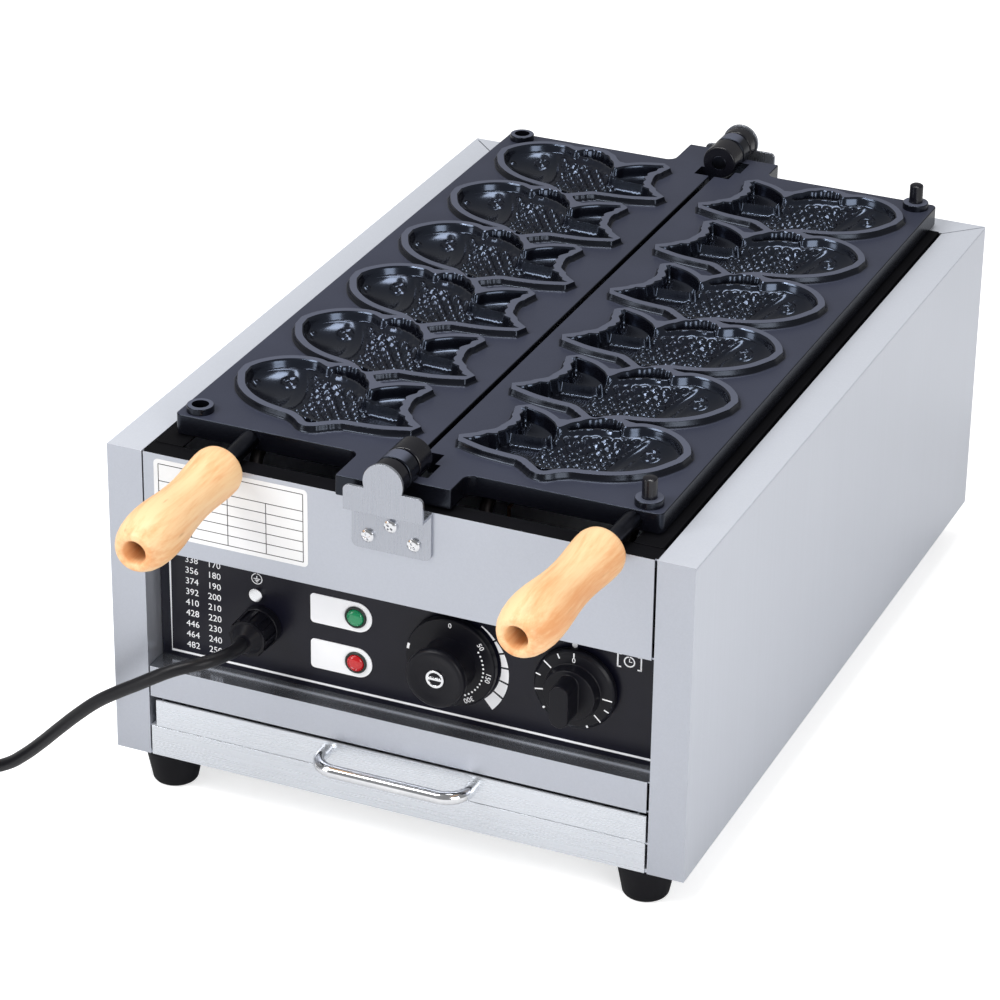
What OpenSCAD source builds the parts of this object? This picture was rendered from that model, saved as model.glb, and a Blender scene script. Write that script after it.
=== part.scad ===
// Twin-plate fish-cake maker: two cast mould plates hinged over an electric casing.
// X runs to the right, Y to the back and Z up. Sizes are in millimetres.

/* [Body] */
// Width of the casing over its side panels
body_w = 370; // [366:1:390]
// Depth of the casing from front face to back face
body_d = 534; // [530:1:545]
// Height of the casing without its feet
body_h = 205; // [200:1:215]
// Thickness of the sheet steel
sheet = 1.2; // [1:0.1:1.5]
// Width of the flange down each front corner
flange_w = 23; // [21:1:24]
// Height of the rail under the drawer
rail_h = 20; // [18:1:22]
// Height of the slot that the drawer runs in
slot_h = 20.5; // [20:0.5:24]
// Height of the strip between the drawer and the recess
strip_h = 20.5; // [19:0.5:22]
// Height of the fascia under the plates
fascia_h = 64; // [62:1:66]
// Depth of the recess that holds the controls
recess_d = 18; // [17:1:20]
// Width of the turned-in edges that stiffen the sheet
return_w = 12; // [11:0.5:13]

/* [Feet] */
// Height of a rubber foot
foot_h = 24; // [20:1:28]
// Diameter of a foot under the casing
foot_top_d = 36; // [34:1:37]
// Diameter of a foot on the table
foot_bottom_d = 28; // [26:1:32]
// Distance of each foot's centre from the side face
foot_side = 30; // [29:0.5:31]
// Distance of each foot's centre from the front or back face
foot_inset = 18; // [18:0.5:20]

/* [Plates] */
// Width of one mould plate
plate_w = 152.5; // [150:0.5:156]
// Distance from the plates to the casing's back face
plate_back = 11; // [9:0.5:14]
// Thickness of a plate's slab
plate_t = 13; // [12.5:0.5:15]
// Distance from the casing's front face to the plates
plate_setback = 27; // [26:0.5:29]
// Gap between the two plates
plate_gap = 3; // [2.5:0.5:4]
// Height of a plate's underside above the casing
plate_lift = 1; // [0.8:0.1:1.5]
// Gap between the rims of the closed plates
mating_gap = 0.3; // [0.2:0.1:0.5]

/* [Moulds] */
// Slab beyond the first and the last mould's pitch
fish_margin = 15; // [12:1:16]
// Distance from one mould to the next
fish_pitch = 77; // [76:0.5:78]
// Distance from the plate's hinge edge to the lower tail tip
fish_inset = 14.5; // [13:0.5:16]
// Depth of a mould below its rim
fish_depth = 12; // [11:0.5:12.5]
// Depth of the fin pockets below the rim
fin_depth = 5; // [4:0.5:6]
// Height of a scale bump
scale_bump = 0.8; // [0.4:0.1:1]
// Width of the rim round a mould
rim_w = 5; // [4:0.5:6]
// Height of the rim above the slab
rim_h = 4.3; // [4:0.1:5]

/* [Hinge] */
// Diameter of a hinge pin
pin_d = 10; // [8:0.5:11]
// Diameter of a hinge knuckle
knuckle_d = 23; // [21:0.5:24]
// Length of the outer left knuckle
knuckle_a = 10.5; // [9:0.5:11]
// Length of the right knuckle
knuckle_b = 12.5; // [11:0.5:13]
// Length of the inner left knuckle
knuckle_c = 17; // [15:0.5:18]
// Gap between neighbouring knuckles
knuckle_gap = 0.5; // [0.3:0.1:0.8]
// Width of the lug that carries the knuckles
lug_w = 32.5; // [28:0.5:36]
// Thickness of a hinge bracket
bracket_t = 2; // [1.5:0.1:2.2]
// Width of a hinge bracket
bracket_w = 50; // [46:1:56]
// Distance from the casing's front face to the bracket's outer face
bracket_reach = 13.5; // [13:0.1:14.5]
// Height of the bracket's tab on the fascia
bracket_tab_h = 31; // [28:1:34]

/* [Closing] */
// Diameter of a locating pin
locator_d = 9; // [8:0.5:9.5]
// Height of a locating pin above its boss
locator_h = 11; // [9:0.5:11.5]
// Diameter of a socket's bore
socket_d = 10.4; // [10.2:0.1:10.8]
// Wall round a locating pin or socket
socket_wall = 3; // [2.5:0.5:4]
// Distance of the locating pins from the plate's outer edge
locator_inset_x = 12; // [11:0.5:13]
// Distance of the locating pins from the plate's front edge
locator_inset_y = 10; // [9.5:0.5:12]

/* [Handles] */
// Diameter of a handle rod
rod_d = 11; // [9:0.5:11]
// Length of rod between a plate and its grip
rod_bare = 36.8; // [34:0.1:42]
// Length of a wooden grip
grip_l = 106; // [96:1:116]
// Largest diameter of a grip
grip_d = 34.8; // [32:0.2:36]
// Diameter of the hole in a grip's end
grip_hole_d = 14; // [13:0.5:15]
// Downward tilt of the handles
handle_tilt = 3; // [2:0.5:3]
// Distance of the left handle from the hinge
left_handle_x = 104.5; // [100:0.5:108]
// Distance of the right handle from the hinge
right_handle_x = 136; // [133:0.5:137]
// Turn of the right handle towards the middle
right_handle_turn = 4; // [2:0.5:5]

/* [Controls] */
// Thickness of the control panel
panel_t = 1.5; // [1.2:0.1:2]
// Distance of the thermostat's axis from the middle of the casing
thermostat_x = 31.3; // [29:0.1:33]
// Diameter of the thermostat's skirt
thermostat_d = 57; // [52:1:60]
// Diameter of the thermostat's cap
cap_d = 37.4; // [34:0.2:40]
// Distance of the timer's axis from the middle of the casing
timer_x = 109; // [106:0.5:112]
// Diameter of the timer's skirt
timer_d = 51; // [46:1:54]
// Distance from the panel to the front of the knobs
knob_reach = 29; // [26:0.5:30]
// Diameter of the knob shafts
shaft_d = 6; // [5:0.5:6.5]
// Diameter of an indicator lamp
lamp_d = 14; // [12:0.5:15]
// Distance of the lamps from the middle of the casing
lamp_x = 32; // [31:0.5:33]
// Height between the two lamps
lamp_pitch = 30.4; // [28:0.2:32]
// Distance of the cord gland from the middle of the casing
gland_x = 94; // [92:0.5:96]
// Diameter of the cord gland's flange
gland_d = 26; // [24:0.5:28]
// Width of the data plate
data_w = 100; // [96:1:104]
// Height of the data plate
data_h = 50; // [46:1:52]

/* [Drawer] */
// Distance from the drip tray to the casing's back face
tray_back = 34.8; // [30:0.2:60]
// Gap between the drip tray and each corner flange
tray_side = 7; // [5:0.5:9]
// Wall of the drip tray
tray_wall = 1; // [0.8:0.1:1.2]
// Depth of the drip tray
tray_h = 15; // [13:0.5:15]
// Height of the drawer's front
drawer_front_h = 17.5; // [16.5:0.5:18]
// Gap between the drawer's front and each corner flange
drawer_side = 3; // [2.5:0.5:4]
// Diameter of the drawer handle's bar
bow_d = 8; // [6:0.5:9]
// Distance between the legs of the drawer handle
bow_w = 96; // [90:1:110]
// Reach of the drawer handle
bow_reach = 18; // [16:0.5:22]

/* [Heaters] */
// Diameter of a heating tube
heater_d = 8; // [6.5:0.5:8.5]
// Distance between the runs of a heating tube
heater_pitch = 30; // [28:0.5:32]
// Height of the heating tubes under the plates' underside
heater_drop = 21; // [19:0.5:24]

/* [Cord] */
// Diameter of the mains cord
cord_d = 8; // [7:0.5:8]
// Outermost radius of the coil's centreline
coil_r = 57; // [55:1:60]
// Step of the coil from one turn to the next
coil_pitch = 9; // [8.8:0.1:9.5]
// Height of a coil layer
coil_layer = 8.6; // [8.5:0.1:9]

/* [Hidden] */
$fn = 48;

seam = 0.2;
running_gap = 0.1;
rest_gap = 0.3;
cut = 1;

half_w = body_w / 2;
inner_x = half_w - sheet;
flange_x = half_w - flange_w;
foot_x = half_w - foot_side;
foot_screw_r = 2.5;
foot_hole_r = foot_screw_r + 0.2;
foot_bore_r = 5.5;
foot_bore_h = 10;
foot_shelf_x = foot_x - foot_top_d / 2 - 2;
slot_z1 = rail_h + slot_h;
recess_z0 = slot_z1 + strip_h;
recess_z1 = body_h - fascia_h;
panel_mid = (recess_z0 + recess_z1) / 2;
panel_lap = 10;
side_return_d = recess_d + 2;
fascia_flange_d = 14;
panel_screw_r = 1.5;
panel_screw_hole_r = panel_screw_r + running_gap;
panel_screw_x = flange_x - 22;
data_x0 = -flange_x + 8;
data_z1 = body_h - 3;
data_t = 0.3;

plate_l = body_d - plate_setback - plate_back;
plate_x0 = plate_gap / 2;
plate_x1 = plate_x0 + plate_w;
plate_y1 = plate_setback + plate_l;
plate_z0 = body_h + plate_lift;
plate_z1 = plate_z0 + plate_t;
rim_z = plate_z1 + rim_h;
hinge_z = rim_z + mating_gap / 2;
hinge_mid = plate_setback + plate_l / 2;

knuckle_y0 = -bracket_reach + bracket_t + knuckle_gap;
knuckle_b_y0 = knuckle_y0 + knuckle_a + knuckle_gap;
knuckle_c_y0 = knuckle_b_y0 + knuckle_b + knuckle_gap;
knuckle_y1 = knuckle_c_y0 + knuckle_c;
knuckle_clearance = 0.8;
left_lug_y = -5;
right_lug_y = knuckle_b_y0 + 5;
lug_fillet_r = 6;
pin_r = pin_d / 2;
knuckle_r = knuckle_d / 2;
bracket_dome_r = knuckle_r + 1;
bracket_shoulder_r = 3.5;
bracket_corner_r = 4;
bracket_hole_r = 2.2;
bracket_screw_x = [-14.5, 0, 14.5];
bracket_screw_z = [body_h - 22, body_h - 13, body_h - 22];
rear_reach = 2 * hinge_mid + bracket_reach - body_d;

fish_count = floor((plate_l - 2 * fish_margin) / fish_pitch);
fish_x0 = plate_x0 + fish_inset;
fish_shift = -2.5;
fish_y0 = hinge_mid - (fish_count - 1) / 2 * fish_pitch + fish_shift;
back_edge = [
    [16, 31.5], [30, 26], [39.5, 19], [45.5, 12.5], [50.5, 21.5], [58, 31.5], [67.5, 38.5],
    [75, 37.3], [79, 31.8], [90, 34.8], [101, 33.3], [111.5, 28.5], [119.5, 20.5], [123, 12.5]
];
belly_edge = [
    [0, -21.6], [16, -26.3], [30, -28], [42, -28.5], [49.5, -35.5], [57, -41.5], [64, -36.5],
    [72, -31.3], [80.5, -30], [91, -27.8], [100, -24], [107.5, -19], [115, -10], [122, 4]
];
tail_edge = [
    [0, -21.6], [4.5, -18], [9, -11.5], [14.5, -7.8], [16.5, -1], [19, 7], [19.5, 13],
    [16.7, 23], [15, 29], [16, 31.5]
];
depth_share = [0.4, 0.5, 0.52, 0.55, 0.75, 0.88, 0.96, 1, 1, 1, 0.97, 0.88, 0.68, 0.4];
dorsal_share = [0, 0, 0, 0, 0.05, 0.16, 0.17, 0.13, 0, 0, 0, 0, 0, 0];
pelvic_share = [0, 0, 0, 0, 0.08, 0.15, 0.1, 0.02, 0, 0, 0, 0, 0, 0];
rim_picks_back = [0, 1, 3, 5, 6, 7, 9, 10, 11, 12, 13];
rim_picks_belly = [13, 12, 11, 10, 9, 8, 6, 5, 4, 3, 2, 1, 0];
rim_picks_tail = [2, 4, 6];
fish_across = 16;
tail_stations = 7;
scale_stations = [8, 18];
eye_a = 99;
eye_b = 19;
eye_r = 3.6;
eye_groove_r = 1.1;

locator_x = plate_x1 - locator_inset_x;
locator_y = plate_setback + locator_inset_y;
locator_boss_r = locator_d / 2 + socket_wall + 1;
socket_boss_r = socket_d / 2 + socket_wall;
socket_depth = locator_h + 1;

rod_r = rod_d / 2;
rod_embed = 12;
rod_drop = 6.5;
rod_z = plate_z1 - rod_drop;
grip_end = rod_bare + grip_l;
grip_hole_depth = 24;
grip_nut_w = 11;
grip_nut_t = 5;
grip_stud_d = 6;

thermostat_z = panel_mid + 2;
timer_z = panel_mid + 2.5;
lamp_z0 = panel_mid - 15.8;
lamp_stem_r = lamp_d / 2 - 2;
lamp_bezel_t = 1.2;
lamp_dome_h = 3;
plaque_t = 0.5;
plaque_h = 19.4;
plaque_l = 29.6;
skirt_z0 = 2;
skirt_t = 5;
shaft_r = shaft_d / 2;
bush_r = shaft_r + 2;
shaft_depth = 14;
knob_bore = knob_reach - 7;
thermostat_depth = 28;
gland_z = panel_mid - 5;
earth_x = -gland_x - 3;
earth_z = panel_mid + 15;
earth_r = 2;
gland_stem_r = gland_d / 2 - 4;
gland_nut_l = 20;
gland_flange_t = 6;
gland_thread_l = 8;
gland_grip_l = 14;
cord_exit_y = recess_d - gland_flange_t - gland_nut_l;

tray_l = body_d - tray_back - sheet;
tray_w = 2 * (flange_x - tray_side);
drawer_front_w = 2 * (flange_x - drawer_side);
runner_z = rail_h + 1;
tray_z0 = runner_z + sheet + rest_gap;
drawer_front_x = 1.5;
drawer_front_z0 = rail_h + 0.5;
bow_x = 3.5;
bow_z = drawer_front_z0 + drawer_front_h / 2 + 0.75;

heater_r = heater_d / 2;
heater_z = plate_z0 - heater_drop;
heater_bend_r = heater_pitch / 2;
heater_front_y = 110;
heater_rear_y = body_d - 74;
heater_drop_r = 12;
heater_leg_y = 63;
heater_leg_z = 130;
shield_y = 88;
shield_z = 154;
support_y = [150, body_d - 134];
support_w = 16;
support_foot_h = 10;
bulb_r = 3;
bulb_l = 90;
capillary_r = 1;

cord_r = cord_d / 2;
route = [
    [-gland_x, cord_exit_y, gland_z], [-94, -16, 96], [-95.5, -25, 97], [-99, -33, 97],
    [-104.5, -40, 96.5], [-112, -45, 95], [-120, -48, 92], [-130, -50, 86.5], [-141, -50.5, 79.5],
    [-155, -50, 70.5], [-170, -48, 59.5], [-185, -46, 46], [-200, -43.5, 31], [-215, -40, 15.5],
    [-229, -36.5, 2], [-243, -33, -9.5], [-257, -29.5, -17], [-271, -27, -20], [-288, -25.5, -20],
    [-304, -25, -20]
];
coil_x = -312;
coil_y = -82;
coil_turns = 5.25;
coil_rings = 24;
coil_sides = 6;
coil_lead = 8;
plug_l = 38;
plug_w = 24;
plug_h = 18;
relief_l = 20;
tail_l = 50;

front_y = min(
    plate_setback - grip_end * cos(handle_tilt) - 10.6 * sin(handle_tilt),
    -bracket_reach
);
back_y = 2 * hinge_mid + bracket_reach;
middle_y = (front_y + back_y) / 2;

function lerp(a, b, t) = a + (b - a) * t;
function unit(v) = v / norm(v);
function along(list, t) =
    let (n = len(list) - 1, i = min(floor(t * n), n - 1)) lerp(list[i], list[i + 1], t * n - i);
function midpoint(p, i) =
    (9 * (p[i] + p[i + 1]) - p[max(i - 1, 0)] - p[min(i + 2, len(p) - 1)]) / 16;
function smooth(p) =
    [for (i = [0:2 * len(p) - 2]) i % 2 == 0 ? p[i / 2] : midpoint(p, (i - 1) / 2)];
function smooth_loop(p) =
    let (n = len(p))
    [for (i = [0:n - 1], half = [0, 1])
        half == 0 ? p[i] : (9 * (p[i] + p[(i + 1) % n]) - p[(i + n - 1) % n] - p[(i + 2) % n]) / 16];
function left_of(v) = [-v[1], v[0]];
function grown(p, w) =
    let (n = len(p))
    [for (i = [0:n - 1])
        let (
            before = left_of(unit(p[i] - p[(i + n - 1) % n])),
            after = left_of(unit(p[(i + 1) % n] - p[i])),
            spread = max(1 + before * after, 0.75)
        )
        p[i] - (before + after) * w / spread];

back_line = smooth(back_edge);
belly_line = smooth(belly_edge);
depth_line = smooth(depth_share);
dorsal_line = smooth(dorsal_share);
pelvic_line = smooth(pelvic_share);
stations = len(back_line);

function tail_pull(k, t) =
    (along(tail_edge, t) - lerp(belly_edge[0], back_edge[0], t)) * pow(max(0, 1 - k / tail_stations), 2);
function fish_plan(k, t) = lerp(belly_line[k], back_line[k], t) + tail_pull(k, t);
function body_share(k, t) = (t - pelvic_line[k]) / (1 - pelvic_line[k] - dorsal_line[k]);
function trough(u) = u <= 0 || u >= 1 ? 0 : sqrt(sin(180 * u));
function scales(k, j) =
    k >= scale_stations[0] && k <= scale_stations[1] ? scale_bump * ((k + j) % 2 - 0.5) : 0;
function tail_ribs(k, j) = k < tail_stations ? scale_bump * 0.8 * (j % 2 - 0.5) : 0;
function fish_sink(k, j) =
    k == 0 || k == stations - 1 || j == 0 || j == fish_across
        ? 0
        : let (
            t = j / fish_across,
            body = fish_depth * depth_line[k] * trough(body_share(k, t)),
            fin = min(fin_depth, fish_depth * depth_line[k])
        )
        max(body, fin) + scales(k, j) + tail_ribs(k, j);
function fish_point(k, j) =
    let (p = fish_plan(k, j / fish_across)) [fish_x0 + p[0], p[1], -fish_sink(k, j)];

module span(low, high) {
    translate(low) cube(high - low);
}

module both() {
    children();
    mirror([1, 0, 0]) children();
}

module front_rear() {
    children();
    translate([0, 2 * hinge_mid, 0]) mirror([0, 1, 0]) children();
}

module corners() {
    both() {
        translate([foot_x, foot_inset, 0]) children();
        translate([foot_x, body_d - foot_inset, 0]) children();
    }
}

module along_y(x, z, y0, y1) {
    translate([x, y1, z]) rotate([90, 0, 0]) linear_extrude(y1 - y0) children();
}

module rod_y(x, z, y0, y1, r) {
    translate([x, y1, z]) rotate([90, 0, 0]) cylinder(r = r, h = y1 - y0);
}

module on_panel(x, z) {
    translate([x, recess_d, z]) rotate([90, 0, 0]) children();
}

module tube(points, r, sides) {
    n = len(points);
    rings = [for (i = [0:n - 1])
        let (
            ahead = unit(points[min(i + 1, n - 1)] - points[max(i - 1, 0)]),
            side = unit(cross(ahead, [0, 0, 1])),
            up = cross(side, ahead)
        )
        for (s = [0:sides - 1])
            let (angle = 360 * s / sides - 90)
            points[i] + r * (cos(angle) * side + sin(angle) * up)];
    walls = [for (i = [0:n - 2], s = [0:sides - 1])
        let (a = i * sides + s, b = i * sides + (s + 1) % sides)
        each [[a, b, b + sides], [a, b + sides, a + sides]]];
    polyhedron(rings, concat(
        walls,
        [[for (s = [sides - 1:-1:0]) s]],
        [[for (s = [0:sides - 1]) (n - 1) * sides + s]]
    ));
}

module round_top_2d(w, h, r) {
    translate([-w / 2, 0]) square([w, h - r]);
    translate([-w / 2 + r, 0]) square([w - 2 * r, h]);
    for (side = [-1, 1]) translate([side * (w / 2 - r), h - r]) circle(r);
}

module hexagon(width, h) {
    cylinder(d = width / cos(30), h = h, $fn = 6);
}

module side_panel() {
    span([half_w - sheet, 0, 0], [half_w, body_d, body_h - sheet]);
    span([flange_x, 0, 0], [half_w, sheet, body_h - sheet]);
    span([flange_x, 0, 0], [flange_x + sheet, side_return_d, body_h - sheet]);
    translate([0, 0, body_h - sheet]) linear_extrude(sheet)
        polygon([[flange_x, 0], [half_w, 0], [half_w, body_d], [flange_x, body_d - flange_w]]);
    span(
        [flange_x, side_return_d, body_h - sheet - return_w],
        [flange_x + sheet, body_d - flange_w, body_h - sheet]
    );
    difference() {
        union() {
            span([foot_shelf_x, sheet + seam, 0], [half_w, body_d - sheet - seam, sheet]);
            span([flange_x, 0, 0], [half_w, sheet + seam, sheet]);
        }
        for (y = [foot_inset, body_d - foot_inset])
            translate([foot_x, y, -cut]) cylinder(r = foot_hole_r, h = sheet + 2 * cut);
    }
}

module left_side_panel() {
    color("lightsteelblue") mirror([1, 0, 0]) side_panel();
}

module right_side_panel() {
    color("lightsteelblue") side_panel();
}

module vent_slots() {
    for (x = [-110:44:110], row = [0:4])
        translate([x, body_d, 60 + row * 12]) rotate([90, 0, 0])
            translate([0, 0, -cut]) linear_extrude(sheet + 2 * cut) {
                square([24, 4], center = true);
                for (end = [-12, 12]) translate([end, 0]) circle(2);
            }
}

module back_panel() {
    color("lightsteelblue") difference() {
        union() {
            span([-inner_x, body_d - sheet, 0], [inner_x, body_d, body_h - sheet]);
            translate([0, 0, body_h - sheet]) linear_extrude(sheet)
                polygon([
                    [-flange_x, body_d - flange_w], [flange_x, body_d - flange_w],
                    [half_w, body_d], [-half_w, body_d]
                ]);
            span(
                [-flange_x, body_d - flange_w, body_h - sheet - return_w],
                [flange_x, body_d - flange_w + sheet, body_h - sheet]
            );
        }
        vent_slots();
        bracket_screw_places() rod_y(0, 0, body_d - sheet - cut, body_d + cut, bracket_hole_r);
    }
}

module base_pan() {
    color("silver") difference() {
        union() {
            span([-flange_x + seam, return_w + seam, sheet], [flange_x - seam, body_d - sheet, 2 * sheet]);
            span(
                [-flange_x + seam, body_d - 2 * sheet, sheet],
                [flange_x - seam, body_d - sheet, sheet + return_w]
            );
        }
        corners() cylinder(r = foot_hole_r, h = 2 * sheet + cut);
    }
}

module bottom_rail() {
    edge = flange_x - seam;
    color("lightsteelblue") {
        span([-edge, 0, 0], [edge, sheet, rail_h]);
        span([-edge, 0, rail_h - sheet], [edge, return_w, rail_h]);
        span([-edge, 0, sheet], [edge, return_w, 2 * sheet]);
    }
}

module front_fascia() {
    edge = flange_x - seam;
    color("lightsteelblue") difference() {
        union() {
            span([-edge, 0, recess_z1], [edge, sheet, body_h]);
            span([-edge, 0, body_h - sheet], [edge, fascia_flange_d, body_h]);
            span([-edge, fascia_flange_d - sheet, body_h - return_w], [edge, fascia_flange_d, body_h]);
            span([-edge, 0, recess_z1], [edge, recess_d, recess_z1 + sheet]);
            span([-edge, recess_d - sheet, recess_z1], [edge, recess_d, recess_z1 + return_w]);
        }
        bracket_screw_places() rod_y(0, 0, -cut, sheet + cut, bracket_hole_r);
        panel_screw_places() rod_y(0, 0, recess_d - sheet - cut, recess_d + cut, panel_screw_hole_r);
    }
}

module recess_ledge() {
    edge = flange_x - seam;
    color("lightsteelblue") difference() {
        union() {
            span([-edge, 0, slot_z1], [edge, sheet, recess_z0]);
            span([-edge, 0, slot_z1], [edge, return_w, slot_z1 + sheet]);
            span([-edge, 0, recess_z0 - sheet], [edge, recess_d, recess_z0]);
            span([-edge, recess_d - sheet, recess_z0 - return_w], [edge, recess_d, recess_z0]);
        }
        panel_screw_places() rod_y(0, 0, recess_d - sheet - cut, recess_d + cut, panel_screw_hole_r);
    }
}

module panel_screw_places() {
    for (x = [-1, 0, 1], z = [recess_z0 - return_w / 2, recess_z1 + return_w / 2 + 1])
        translate([x * panel_screw_x, 0, z]) children();
}

module bracket_screw_places() {
    for (i = [0:2]) translate([bracket_screw_x[i], 0, bracket_screw_z[i]]) children();
}

module panel_bore(x, z, r) {
    on_panel(x, z) translate([0, 0, -panel_t - cut]) cylinder(r = r + running_gap, h = panel_t + 2 * cut);
}

module control_panel() {
    edge = flange_x - seam;
    color("black") difference() {
        span(
            [-edge, recess_d, recess_z0 - panel_lap],
            [edge, recess_d + panel_t, recess_z1 + panel_lap]
        );
        panel_bore(thermostat_x, thermostat_z, bush_r);
        panel_bore(timer_x, timer_z, bush_r);
        for (i = [0, 1]) panel_bore(-lamp_x, lamp_z0 + i * lamp_pitch, lamp_stem_r);
        panel_bore(-gland_x, gland_z, gland_stem_r);
        panel_bore(earth_x, earth_z, earth_r);
        panel_screw_places() rod_y(0, 0, recess_d - cut, recess_d + panel_t + cut, panel_screw_hole_r);
    }
}

module panel_screws() {
    color("gray") panel_screw_places() {
        rod_y(0, 0, recess_d + panel_t, recess_d + panel_t + 2, 2.8);
        rod_y(0, 0, recess_d - sheet - 2.8, recess_d + panel_t, panel_screw_r);
    }
}

module data_plate() {
    color("white") span([data_x0, -data_t, data_z1 - data_h], [data_x0 + data_w, 0, data_z1]);
}

module plate_rails() {
    rail_z = plate_z0 - rest_gap;
    leg = 14;
    outer = flange_x - 2;
    inner = outer - 18;
    back = body_d - flange_w;
    color("silver") both() {
        span([inner, fascia_flange_d, rail_z - sheet], [outer, back, rail_z]);
        span([outer - sheet, fascia_flange_d, rail_z - leg], [outer, back, rail_z]);
        for (y = [fascia_flange_d, back - sheet]) span([inner, y, rail_z - leg], [outer, y + sheet, rail_z]);
    }
}

module bend(r, tube_r) {
    rotate_extrude(angle = 180) translate([r, 0]) circle(tube_r);
}

module heating_element() {
    run_x = [for (i = [1:4]) i * heater_pitch];
    leg_top = heater_z - heater_drop_r;
    stud_l = 12;
    for (i = [1, 2]) rod_y(run_x[i], heater_z, heater_front_y, heater_rear_y, heater_r);
    for (i = [0, 2])
        translate([run_x[i] + heater_bend_r, heater_rear_y, heater_z]) bend(heater_bend_r, heater_r);
    translate([run_x[1] + heater_bend_r, heater_front_y, heater_z])
        rotate([0, 0, 180]) bend(heater_bend_r, heater_r);
    for (i = [0, 3]) {
        rod_y(run_x[i], heater_z, heater_leg_y + heater_drop_r, heater_rear_y, heater_r);
        translate([run_x[i], heater_leg_y + heater_drop_r, leg_top])
            rotate([0, -90, 180]) rotate_extrude(angle = 90)
                translate([heater_drop_r, 0]) circle(heater_r);
        translate([run_x[i], heater_leg_y, heater_leg_z]) cylinder(r = heater_r, h = leg_top - heater_leg_z);
        translate([run_x[i], heater_leg_y, heater_leg_z - stud_l]) cylinder(r = heater_r / 2, h = stud_l);
    }
}

module left_heating_element() {
    color("dimgray") mirror([1, 0, 0]) heating_element();
}

module right_heating_element() {
    color("dimgray") heating_element();
}

module element_supports() {
    top = heater_z - heater_r - rest_gap;
    color("silver") for (y = support_y) {
        span([-inner_x, y, top - sheet], [inner_x, y + support_w, top]);
        both() span([inner_x - sheet, y, top - sheet], [inner_x, y + support_w, top + support_foot_h]);
    }
}

module heat_shield() {
    color("silver") difference() {
        union() {
            span([-inner_x, shield_y, slot_z1 + sheet], [inner_x, shield_y + sheet, shield_z]);
            span([-inner_x, side_return_d + seam, shield_z], [inner_x, shield_y + sheet, shield_z + sheet]);
        }
        both() for (i = [1, 4])
            translate([i * heater_pitch, heater_leg_y, shield_z - cut])
                cylinder(r = heater_r + 0.5, h = sheet + 2 * cut);
        translate([1.5 * heater_pitch, heater_leg_y, shield_z - cut])
            cylinder(r = 2 * capillary_r, h = sheet + 2 * cut);
    }
}

module terminal_block() {
    block_w = 60;
    block_d = 14;
    block_h = 16;
    block_x = -90;
    block_z1 = panel_mid - 19;
    ways = 5;
    color("ivory") {
        span(
            [block_x - block_w / 2, shield_y - block_d, block_z1 - block_h],
            [block_x + block_w / 2, shield_y, block_z1]
        );
        for (i = [0:ways - 1])
            translate([block_x + (i - (ways - 1) / 2) * block_w / ways, shield_y - block_d / 2, block_z1])
                cylinder(r = 2.4, h = 2);
    }
}

module hinge_bracket(reach) {
    ear_z = body_h - bracket_t;
    difference() {
        union() {
            along_y(0, ear_z, -reach, -reach + bracket_t) {
                round_top_2d(bracket_w, plate_z1 - ear_z, bracket_shoulder_r);
                translate([0, hinge_z - ear_z]) circle(bracket_dome_r);
            }
            span([-bracket_w / 2, -reach, ear_z], [bracket_w / 2, 0, body_h]);
            along_y(0, body_h, -bracket_t, 0)
                mirror([0, 1]) round_top_2d(bracket_w, bracket_tab_h, bracket_corner_r);
        }
        bracket_screw_places() rod_y(0, 0, -bracket_t - cut, cut, bracket_hole_r);
    }
}

module front_hinge_bracket() {
    color("gainsboro") hinge_bracket(bracket_reach);
}

module rear_hinge_bracket() {
    color("gainsboro") translate([0, body_d, 0]) mirror([0, 1, 0]) hinge_bracket(rear_reach);
}

module hinge_pins() {
    color("silver") front_rear() rod_y(0, hinge_z, -bracket_reach + bracket_t, knuckle_y1, pin_r);
}

module bracket_screw_set() {
    screw_r = bracket_hole_r - 2 * running_gap;
    head_t = 1.4;
    nut_t = 3.2;
    bracket_screw_places() {
        translate([0, -bracket_t, 0]) rotate([90, 0, 0]) {
            cylinder(r = 2 * screw_r, h = head_t);
            translate([0, 0, head_t]) cylinder(r1 = 2 * screw_r, r2 = 1.2 * screw_r, h = 1);
        }
        rod_y(0, 0, -bracket_t, sheet + nut_t + 1.8, screw_r);
        translate([0, sheet + nut_t, 0]) rotate([90, 0, 0]) difference() {
            hexagon(7, nut_t);
            translate([0, 0, -cut]) cylinder(r = screw_r + running_gap, h = nut_t + 2 * cut);
        }
    }
}

module bracket_screws() {
    color("silver") {
        bracket_screw_set();
        translate([0, body_d, 0]) mirror([0, 1, 0]) bracket_screw_set();
    }
}

module rubber_feet() {
    color("black") corners() rotate_extrude() difference() {
        polygon([
            [0, -foot_h], [foot_bottom_d / 2 - 2, -foot_h], [foot_bottom_d / 2 - 0.6, -foot_h + 0.6],
            [foot_bottom_d / 2, -foot_h + 2], [foot_top_d / 2, -2], [foot_top_d / 2, 0], [0, 0]
        ]);
        translate([0, -foot_h - cut]) square([foot_bore_r, foot_bore_h + cut]);
        square([2 * foot_hole_r, 2 * foot_h], center = true);
    }
}

module foot_screws() {
    head_z = -foot_h + foot_bore_h;
    head_t = 3;
    nut_t = 4;
    color("gray") corners() {
        translate([0, 0, head_z - head_t]) cylinder(r = foot_bore_r - 0.9, h = head_t);
        translate([0, 0, head_z]) cylinder(r = foot_screw_r, h = 2 * sheet + nut_t + 1 - head_z);
        translate([0, 0, 2 * sheet]) difference() {
            hexagon(8, nut_t);
            translate([0, 0, -cut]) cylinder(r = foot_screw_r + running_gap, h = nut_t + 2 * cut);
        }
    }
}

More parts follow.
